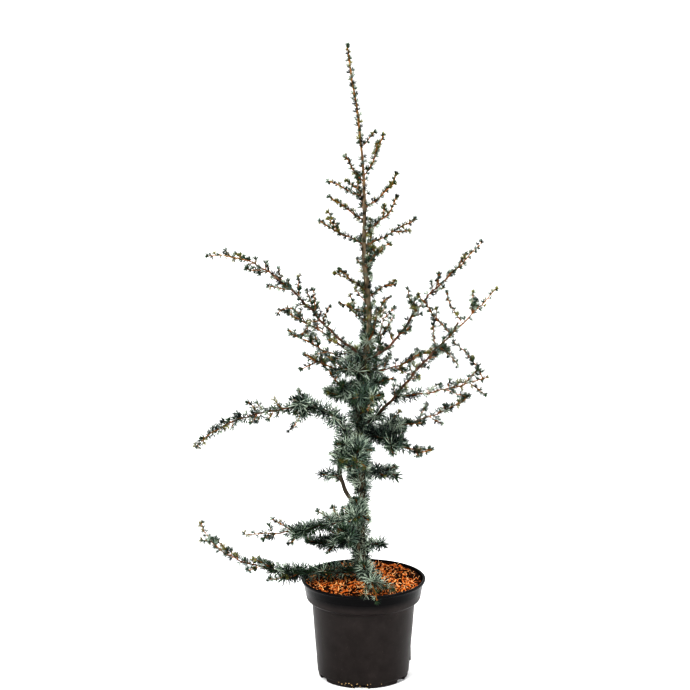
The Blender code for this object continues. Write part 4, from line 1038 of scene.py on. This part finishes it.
# ---------------------------------------------------------------- Needles
# Stiff evergreen needles, blue-green with a pale bloom on the older wood and yellower at the growing tips; the
# bloom tone is made paler than the needles' own to serve also as painted highlight.
# They stand in tufts on short spurs, and all round the dense inner shoots. Each spray takes one colour, and the
# near-black sprays that stand under the others are painted shade.

needle_tree, given, put = new_tree("needles", ("Base Width", "Float"), ("Width by Length", "Float"),
                                   ("Seed", "Int"))


def put_named(name, kind):
    return put("GeometryNodeInputNamedAttribute", ("Name", name), data_type=kind)


# One blade a unit long: three-sided, fattest in its lower half and pointed.
blade = put("GeometryNodeMeshCone", ("Vertices", 3), ("Side Segments", 2), ("Fill Segments", 1),
            ("Radius Top", 0.0), ("Radius Bottom", 0.5), ("Depth", 1.0))
spot = put("ShaderNodeSeparateXYZ", ("Vector", put("GeometryNodeInputPosition")))
fatter = put("ShaderNodeMapRange", ("Value", spot.outputs["Z"]), ("From Min", 0.0), ("From Max", 0.5),
             ("To Min", 0.55), ("To Max", 1.9))
wider = [put("ShaderNodeMath", (0, spot.outputs[axis]), (1, fatter), operation="MULTIPLY") for axis in "XY"]
shaped = put("ShaderNodeCombineXYZ", ("X", wider[0]), ("Y", wider[1]), ("Z", spot.outputs["Z"]))
cut_blade = put("GeometryNodeSetPosition", ("Geometry", blade), ("Position", shaped))
marked = put("GeometryNodeStoreNamedAttribute", ("Geometry", cut_blade), ("Name", "out_along"),
             ("Value", spot.outputs["Z"]), data_type="FLOAT", domain="POINT")
# Each point sets one out along its way, at its length, and then curls it.
long = put_named("long", "FLOAT")
thick = put("ShaderNodeMath", (0, long), (1, given["Width by Length"]), (2, given["Base Width"]),
            operation="MULTIPLY_ADD")
scale = put("ShaderNodeCombineXYZ", ("X", thick), ("Y", thick), ("Z", long))
pointed = put("FunctionNodeAlignRotationToVector", ("Vector", put_named("way", "FLOAT_VECTOR")), axis="Z")
spin = put("FunctionNodeRandomValue", (2, 0.0), (3, math.tau), ("Seed", given["Seed"]), data_type="FLOAT")
spin_turn = put("FunctionNodeAxisAngleToRotation", ("Axis", (0, 0, 1)), ("Angle", spin.outputs[1]))
turned = put("FunctionNodeRotateRotation", ("Rotation", pointed), ("Rotate By", spin_turn),
             rotation_space="LOCAL")
set_out = put("GeometryNodeInstanceOnPoints", ("Points", given["Geometry"]), ("Instance", marked),
              ("Rotation", turned), ("Scale", scale))
real = put("GeometryNodeRealizeInstances", ("Geometry", set_out))
squared = put("ShaderNodeMath", (0, put_named("out_along", "FLOAT")), (1, 2.0), operation="POWER")
curled = put("ShaderNodeVectorMath", (0, put_named("curl", "FLOAT_VECTOR")), ("Scale", squared),
             operation="SCALE")
close_tree(put, given, put("GeometryNodeSetPosition", ("Geometry", real), ("Offset", curled)))

# name, base colour, roughness
NEEDLE_TONES = (
    # The pale bloom tone is the needles' glaucous bloom, made paler to serve also as painted highlight.
    ("bloom", (0.430, 0.500, 0.405), 0.50),
    ("blue", (0.106, 0.152, 0.120), 0.50),
    # The near-black tone is painted shade.
    ("deep", (0.005, 0.010, 0.008), 0.65),
    ("green", (0.032, 0.064, 0.027), 0.55),
    ("fresh", (0.180, 0.170, 0.036), 0.55),
)
# How many sprays in a hundred take each tone, besides the near-black ones of painted shade that stand under
# them.
INNER_MIX = (54, 30, 4, 12, 0)
# The low mix for the lowest limb and the shaded mix hold more near-black sprays: painted shade, in part on the
# lowest limb and in full where the wood is in shade.
LOW_MIX = (20, 36, 20, 24, 0)
SHADED_MIX = (12, 30, 30, 28, 0)
OUTER_MIX = (14, 20, 22, 36, 8)
TIP_MIX = (5, 9, 10, 44, 32)
# The tone of the sprays that stand under the others: near-black painted shade.
PAINTED_SHADE_LAYER = "deep"
# height above the soil, and how long needles are there against the usual
NEEDLE_SIZES = ((0.0, 1.00), (0.20, 0.92), (0.34, 1.12), (0.50, 1.00), (0.62, 0.84), (1.2, 0.68))
# A needle curls towards its spray's axis, and lifts a little, by these shares of its length.
CURL_INWARD = 0.14
CURL_UPWARD = 0.02
# The long needles of the dense wood: their length, how many make a spray, and how far they lean from its
# axis, from the first to the last. The near-black spray of painted shade under it leans further.
ROSETTE_NEEDLE = 0.0265
ROSETTE_COUNT = (10, 13)
ROSETTE_SPREAD = (0.15, 1.25)
ROSETTE_UNDER_SPREAD = (0.45, 1.50)
BRUSH_STEP = 0.0052
# How far from its root, as a share, a limb that starts as a bough has long needles.
BRUSHED = {
    "left_arch": 0.34, "right_main": 0.15, "left_upper": 0.05, "right_upper": 0.06, "back_middle": 0.20}
# How much longer than usual the long needles are on some limbs, and the limbs in shade, whose sprays take the
# shaded mix as painted shade.
FULLER = {"lowest_left": 1.22, "left_arch": 1.20, "left_riser": 1.15, "low_left": 1.10}
SHADED = ("low_left_back", "riser_left", "right_low_front", "foot_front", "back_lowest")
# The short needles of the tufts, in the same terms, and how close the tufts stand on some limbs.
TUFT_NEEDLE = 0.0165
TUFT_COUNT = (7, 10)
TUFT_SPREAD = (0.05, 0.90)
TUFT_UNDER_SPREAD = (0.20, 1.10)
TUFT_STEP = 0.0078
CLOSER = {"left_arch": 0.58, "left_upper": 0.85, "lowest_left": 0.85}
STUB_CLEARANCE = 0.016
# Tufts are smaller close to the tip, and on a bough at least this long they are yellower there.
SHORT_END = 0.05
SHORT_SHARE = 0.70
TIP_END = 0.06
LONG_BOUGH = 0.245
# A spray and the near-black spray of painted shade under it at the very tip: how many needles, how long, and
# how they lean.
TIP_SPRAY = (10, 0.0110, 0.05, 0.70)
TIP_UNDER_SPRAY = (7, 0.0100, 0.20, 0.90)
# Some tufts stand on side shoots of their own, the rest on spurs. Rows are (half width, how young).
SHOOTLET_SHARE = 0.22
SHOOTLET_LENGTHS = (0.009, 0.024)
SHOOTLET_ROWS = ((0.0011, 0.1), (0.0010, 0.5), (0.0008, 1.0))
SHOOTLET_FIRST_TUFT = 0.006
SHOOTLET_TUFT_STEP = 0.0065
SHOOTLET_MARGIN = 0.008
SPUR_LENGTHS = (0.001, 0.004)
SPUR_ROWS = ((0.0012, 0.3), (0.0010, 0.3))
# Single needles on the bark between the tufts.
HAIR_STEP = 0.0034
HAIR_NEEDLE = 0.0130
sprays = {name: ([], [], [], []) for name, _, _ in NEEDLE_TONES}
dice = random.Random("needles")


def add_needle(tone, root, way, long, curl):
    tip = root + way * long + curl
    if not clear_of_pot(tip, 0.001) or not clear_of_pot(root.lerp(tip, 0.6), 0.0005):
        return
    for row, value in zip(sprays[tone], (root, way, long, curl)):
        row.append(value)


def pick_tone(mix):
    return dice.choices([row[0] for row in NEEDLE_TONES], mix)[0]


def spray(tone, root, axis, count, long, narrowest, widest):
    """Needles fanned about an axis: the first lean from it by the narrowest angle, the last by the widest."""
    across = axis.orthogonal().normalized()
    side = axis.cross(across)
    roll = dice.uniform(0, math.tau)
    for number in range(count):
        lean = narrowest + (widest - narrowest) * math.sqrt((number + 0.5) / count)
        lean *= dice.uniform(0.88, 1.12)
        roll += GOLDEN_TURN
        out_way = across * math.cos(roll) + side * math.sin(roll)
        way = (axis * math.cos(lean) + out_way * math.sin(lean)).normalized()
        reach = long * dice.uniform(0.74, 1.14)
        curl = (axis * CURL_INWARD * math.sin(lean) + Vector((0, 0, CURL_UPWARD))) * reach
        add_needle(tone, root + out_way * 0.0006, way, reach, curl)


def tuft(root, axis, mix, long):
    """A rosette of short needles on a spur: near-black ones under it as painted shade, and a paler spray over
    them.
    """
    spray(PAINTED_SHADE_LAYER, root, axis, dice.randint(*TUFT_COUNT), long * 0.90, *TUFT_UNDER_SPREAD)
    spray(pick_tone(mix), root, axis, dice.randint(*TUFT_COUNT), long, *TUFT_SPREAD)


def out_of(way, roll):
    """The unit vector across a way at this roll."""
    across = way.orthogonal().normalized()
    return across * math.cos(roll) + way.cross(across) * math.sin(roll)


def brush(wood, start, end, mix, step=BRUSH_STEP, facing=None):
    """Rosettes of long needles close together all round a stretch of wood, or on the side facing one way."""
    distance = start
    roll = dice.uniform(0, math.tau)
    while distance < end:
        place, way = point_at(wood.points, distance)
        roll += GOLDEN_TURN * dice.uniform(0.95, 1.05)
        out_way = out_of(way, roll)
        if facing and out_way.dot(facing) < 0:
            distance += step
            continue
        axis = (out_way + way * 0.55).normalized()
        root = place + out_way * (wood.radius(distance) + 0.0008)
        long = ROSETTE_NEEDLE * along(NEEDLE_SIZES, place.z - GROUND) * FULLER.get(wood.owner, 1.0)
        long *= dice.uniform(0.85, 1.1)
        # Rosettes that face downward take the shaded mix: painted shade on the underside of the wood.
        tone = pick_tone(mix if axis.z > -0.35 else SHADED_MIX)
        spray(tone, root, axis, dice.randint(*ROSETTE_COUNT), long, *ROSETTE_SPREAD)
        # The near-black spray under each rosette is painted shade.
        spray(PAINTED_SHADE_LAYER, root, axis, dice.randint(*ROSETTE_COUNT), long * 0.86, *ROSETTE_UNDER_SPREAD)
        distance += step * dice.uniform(0.7, 1.3)


def tufts_along(wood, start, end, step, shootlets, tip_mix=OUTER_MIX, forward=0.45):
    """Tufts on spurs by turns round a stretch of wood, some of them on short side shoots of their own."""
    distance = start
    roll = dice.uniform(0, math.tau)
    while distance < end:
        place, way = point_at(wood.points, distance)
        roll += GOLDEN_TURN * dice.uniform(0.94, 1.06)
        to_tip = wood.length - distance
        if (place - stub_points[3]).length < STUB_CLEARANCE:
            distance += step
            continue
        shorter = SHORT_SHARE if to_tip < SHORT_END else 1.0
        long = TUFT_NEEDLE * along(NEEDLE_SIZES, place.z - GROUND) * shorter
        mix = tip_mix if to_tip < TIP_END else OUTER_MIX
        axis = (out_of(way, roll) + way * forward + Vector((0, 0, 0.25))).normalized()
        if dice.random() < shootlets and to_tip > SHORT_END:
            length = dice.uniform(*SHOOTLET_LENGTHS)
            tip = place + axis * (wood.radius(distance) + length)
            if clear_of_pot(tip, SHOOTLET_MARGIN):
                middle = place.lerp(tip, 0.5) + way * 0.0008
                spurs.append([(spot, *row) for spot, row in zip((place, middle, tip), SHOOTLET_ROWS)])
                reach = SHOOTLET_FIRST_TUFT
                while reach < length:
                    aside = (out_of(axis, dice.uniform(0, math.tau)) + axis).normalized()
                    tuft(place + axis * reach, aside, mix, long * 0.9)
                    reach += SHOOTLET_TUFT_STEP
                tuft(tip, axis, mix, long)
        else:
            root = place + axis * (wood.radius(distance) + dice.uniform(*SPUR_LENGTHS))
            spurs.append([(spot, *row) for spot, row in zip((place, root), SPUR_ROWS)])
            tuft(root, axis, mix, long)
        closer = 0.8 if to_tip < TIP_END and wood.length > LONG_BOUGH else 1.0
        distance += step * dice.uniform(0.6, 1.4) * closer
    if end >= wood.length - 0.004:
        tip, way = point_at(wood.points, wood.length)
        spray(pick_tone(tip_mix), tip - way * 0.001, way, *TIP_SPRAY)
        # The near-black spray under the tip spray is painted shade.
        spray(PAINTED_SHADE_LAYER, tip - way * 0.002, way, *TIP_UNDER_SPRAY)


def hairs_along(wood, start, end):
    """Single needles that stand far apart straight on the young bark."""
    distance = start
    while distance < end:
        place, way = point_at(wood.points, distance)
        axis = (out_of(way, dice.uniform(0, math.tau)) + way * 0.5).normalized()
        add_needle("green", place, axis, HAIR_NEEDLE * dice.uniform(0.7, 1.3), way * 0.001)
        distance += HAIR_STEP * dice.uniform(0.5, 1.5)


spurs = []
for wood in stems + twigs:
    is_limb = hasattr(wood, "rule")
    if is_limb and wood.owner in BRUSHED:
        dense_end = BRUSHED[wood.owner] * wood.length
    else:
        dense_end = wood.dense + (wood.bare if is_limb else 0.0)
    if dense_end > 0.010:
        open_mix = LOW_MIX if wood.owner == "lowest_left" else INNER_MIX
        brush(wood, 0.003, dense_end, SHADED_MIX if wood.owner in SHADED else open_mix)
    start = max(dense_end, 0.008)
    if is_upper(wood.owner):
        close, shootlets, tip_mix, forward = 0.68, 0.0, TIP_MIX, 1.1
    elif is_limb:
        close, shootlets, forward = CLOSER.get(wood.owner, 1.1), SHOOTLET_SHARE, 0.6
        tip_mix = TIP_MIX if wood.length > LONG_BOUGH else OUTER_MIX
    else:
        close, shootlets, tip_mix, forward = 0.70, 0.10, OUTER_MIX, 0.9
    tufts_along(wood, start, wood.length, TUFT_STEP * close, shootlets, tip_mix, forward)
    hairs_along(wood, start, wood.length)

# The bare riser is needled higher up, and the trunk for most of its length. The trunk's stretches are
# (start, end, step, facing) for long needles and (start, end, share of side shoots) for tufts.
RISER_NEEDLED = (0.45, 0.68)
RISER_TUFT_STEP = 0.014
RISER_BRUSH_STEP = 0.0060
TO_THE_RIGHT = Vector((0.95, -0.30, 0.0))
TRUNK_BRUSHES = (
    (0.012, 0.115, 0.0050, None), (0.115, 0.31, 0.0095, None), (0.120, 0.31, 0.0060, TO_THE_RIGHT),
    (0.31, 0.47, 0.0060, None))
TRUNK_TUFTS = ((0.30, 0.62, 0.45), (0.62, 0.80, 0.20), (0.80, LEADER_HEIGHT, 0.0))
TRUNK_TUFT_STEP = 0.0066
riser = limbs[RISER]
tufted, brushed = (riser.length * share for share in RISER_NEEDLED)
tufts_along(riser, tufted, brushed, RISER_TUFT_STEP, 0.2)
brush(riser, brushed, riser.length, INNER_MIX, RISER_BRUSH_STEP)
for start, end, step, facing in TRUNK_BRUSHES:
    brush(trunk, start, end, INNER_MIX, step, facing)
for start, end, shootlets in TRUNK_TUFTS:
    tufts_along(trunk, start, end, TRUNK_TUFT_STEP, shootlets)

spur_mesh = grown("spurs", lines_mesh("spurs", spurs), shoots, {"Sides": 5, "Material": young_wood})
ride_as(piece_from("shoots_spurs", plain(spur_mesh, "young")), "bough_bark")

# A needle's width is a base width and a share of its length. A piece holds no more than so many needles.
NEEDLE_WIDTH = 0.0008
WIDTH_BY_LENGTH = 0.030
MOST_NEEDLES = 18000
for name, colour, roughness in NEEDLE_TONES:
    darker = tuple(channel * 0.72 for channel in colour)
    lighter = tuple(min(1.0, channel * 1.22) for channel in colour)
    grain = {"scale": 55, "detail": 2}
    material = mottled("needle_" + name, roughness, 0.2, grain, [(0.35, darker), (0.65, lighter)])
    roots, ways, longs, curls = sprays[name]
    for part, first in enumerate(range(0, len(roots), MOST_NEEDLES)):
        last = first + MOST_NEEDLES
        mesh = bpy.data.meshes.new("needles")
        mesh.from_pydata(roots[first:last], [], [])
        for key, rows in (("way", ways), ("curl", curls)):
            flat = np.array([tuple(row) for row in rows[first:last]], np.float32).ravel()
            mesh.attributes.new(key, "FLOAT_VECTOR", "POINT").data.foreach_set("vector", flat)
        store(mesh, "long", longs[first:last])
        values = {"Base Width": NEEDLE_WIDTH, "Width by Length": WIDTH_BY_LENGTH, "Seed": part,
                  "Material": material}
        made = plain(grown("needles", mesh, needle_tree, values))
        ride_as(piece_from(f"needles_{name}_{part + 1}", made), "needles", *foliage_nodes)

# ---------------------------------------------------------------- Floor, light and camera
# A plain pale floor, laid flat and far on every side so that it fills the view, soft light from large panels,
# and the view. The paper is lit a little from beneath far out, where the panels don't reach.

FLOOR_RADII = (1.0, 2.0, 4.0, 8.0, 30.0, 400.0)
FLOOR_SPOKES = 64
# How far out the paper's own light starts and is full, and how bright it is.
GLOW_STARTS = 1.2
GLOW_FULL = 4.5
GLOW = 0.75
bm = bmesh.new()
turns = [k * math.tau / FLOOR_SPOKES for k in range(FLOOR_SPOKES)]
rings = [[bm.verts.new((radius * math.cos(turn), radius * math.sin(turn), 0.0)) for turn in turns]
         for radius in FLOOR_RADII]
bm.faces.new(rings[0])
for inner, outer in zip(rings, rings[1:]):
    for k in range(FLOOR_SPOKES):
        bm.faces.new((inner[k - 1], outer[k - 1], outer[k], inner[k]))
floor_mesh = mesh_from(bm, "floor")
paper, tree, shader = shader_of("floor_paper", 0.9)
shader.inputs["Base Color"].default_value = (0.86, 0.86, 0.86, 1)
shader.inputs["Emission Color"].default_value = (1, 1, 1, 1)
place = add_node(tree, "ShaderNodeTexCoord")
far_out = add_node(tree, "ShaderNodeVectorMath", (0, place.outputs["Object"]), operation="LENGTH")
glow = add_range(tree, far_out.outputs["Value"], GLOW_STARTS, GLOW_FULL, 0.0, GLOW)
tree.links.new(glow, shader.inputs["Emission Strength"])
floor = piece_from("floor", floor_mesh, paper)


def panel(name, place, target, width, height, power):
    light = bpy.data.lights.new(name, "AREA")
    light.shape = "RECTANGLE"
    light.size = width
    light.size_y = height
    light.energy = power
    lamp = bpy.data.objects.new(name, light)
    lamp.location = place
    lamp.rotation_euler = (Vector(target) - Vector(place)).to_track_quat("-Z", "Y").to_euler()
    bpy.context.scene.collection.objects.link(lamp)


panel("key_panel", (-2.0, -3.0, 3.4), (0, 0, 0.7), 1.0, 1.0, 205)
panel("fill_panel", (2.6, -2.6, 1.6), (0, 0, 0.6), 1.6, 1.6, 85)
panel("top_panel", (0.0, 1.4, 4.4), (0, 1.4, 0.0), 4.0, 4.0, 260)
world = bpy.data.worlds.new("studio")
world.use_nodes = True
tree = world.node_tree
place = add_node(tree, "ShaderNodeTexCoord")
look_up = add_node(tree, "ShaderNodeSeparateXYZ", (0, place.outputs["Generated"]))
# White along the horizon, where it meets the floor, and dimmer above.
band = add_ramp(tree, look_up.outputs["Z"], [(0.17, (1.0, 1.0, 1.0)), (0.40, (0.22, 0.22, 0.22))])
sky = tree.nodes["Background"]
tree.links.new(band, sky.inputs["Color"])
sky.inputs["Strength"].default_value = 1.0
bpy.context.scene.world = world
bpy.context.scene.view_settings.view_transform = "Standard"
bpy.context.scene.view_settings.look = "High Contrast"

SENSOR_WIDTH = 36
VIEW_PIXELS = 690
FOCAL_PIXELS = 2082.5
TILT_DOWN = 11.56
camera_data = bpy.data.cameras.new("camera")
camera_data.sensor_width = SENSOR_WIDTH
camera_data.lens = FOCAL_PIXELS * SENSOR_WIDTH / VIEW_PIXELS
camera = bpy.data.objects.new("camera", camera_data)
camera.location = (-0.0415, -4.5, 1.6833)
camera.rotation_euler = (math.radians(90 - TILT_DOWN), 0, 0)
bpy.context.scene.collection.objects.link(camera)
bpy.context.scene.camera = camera
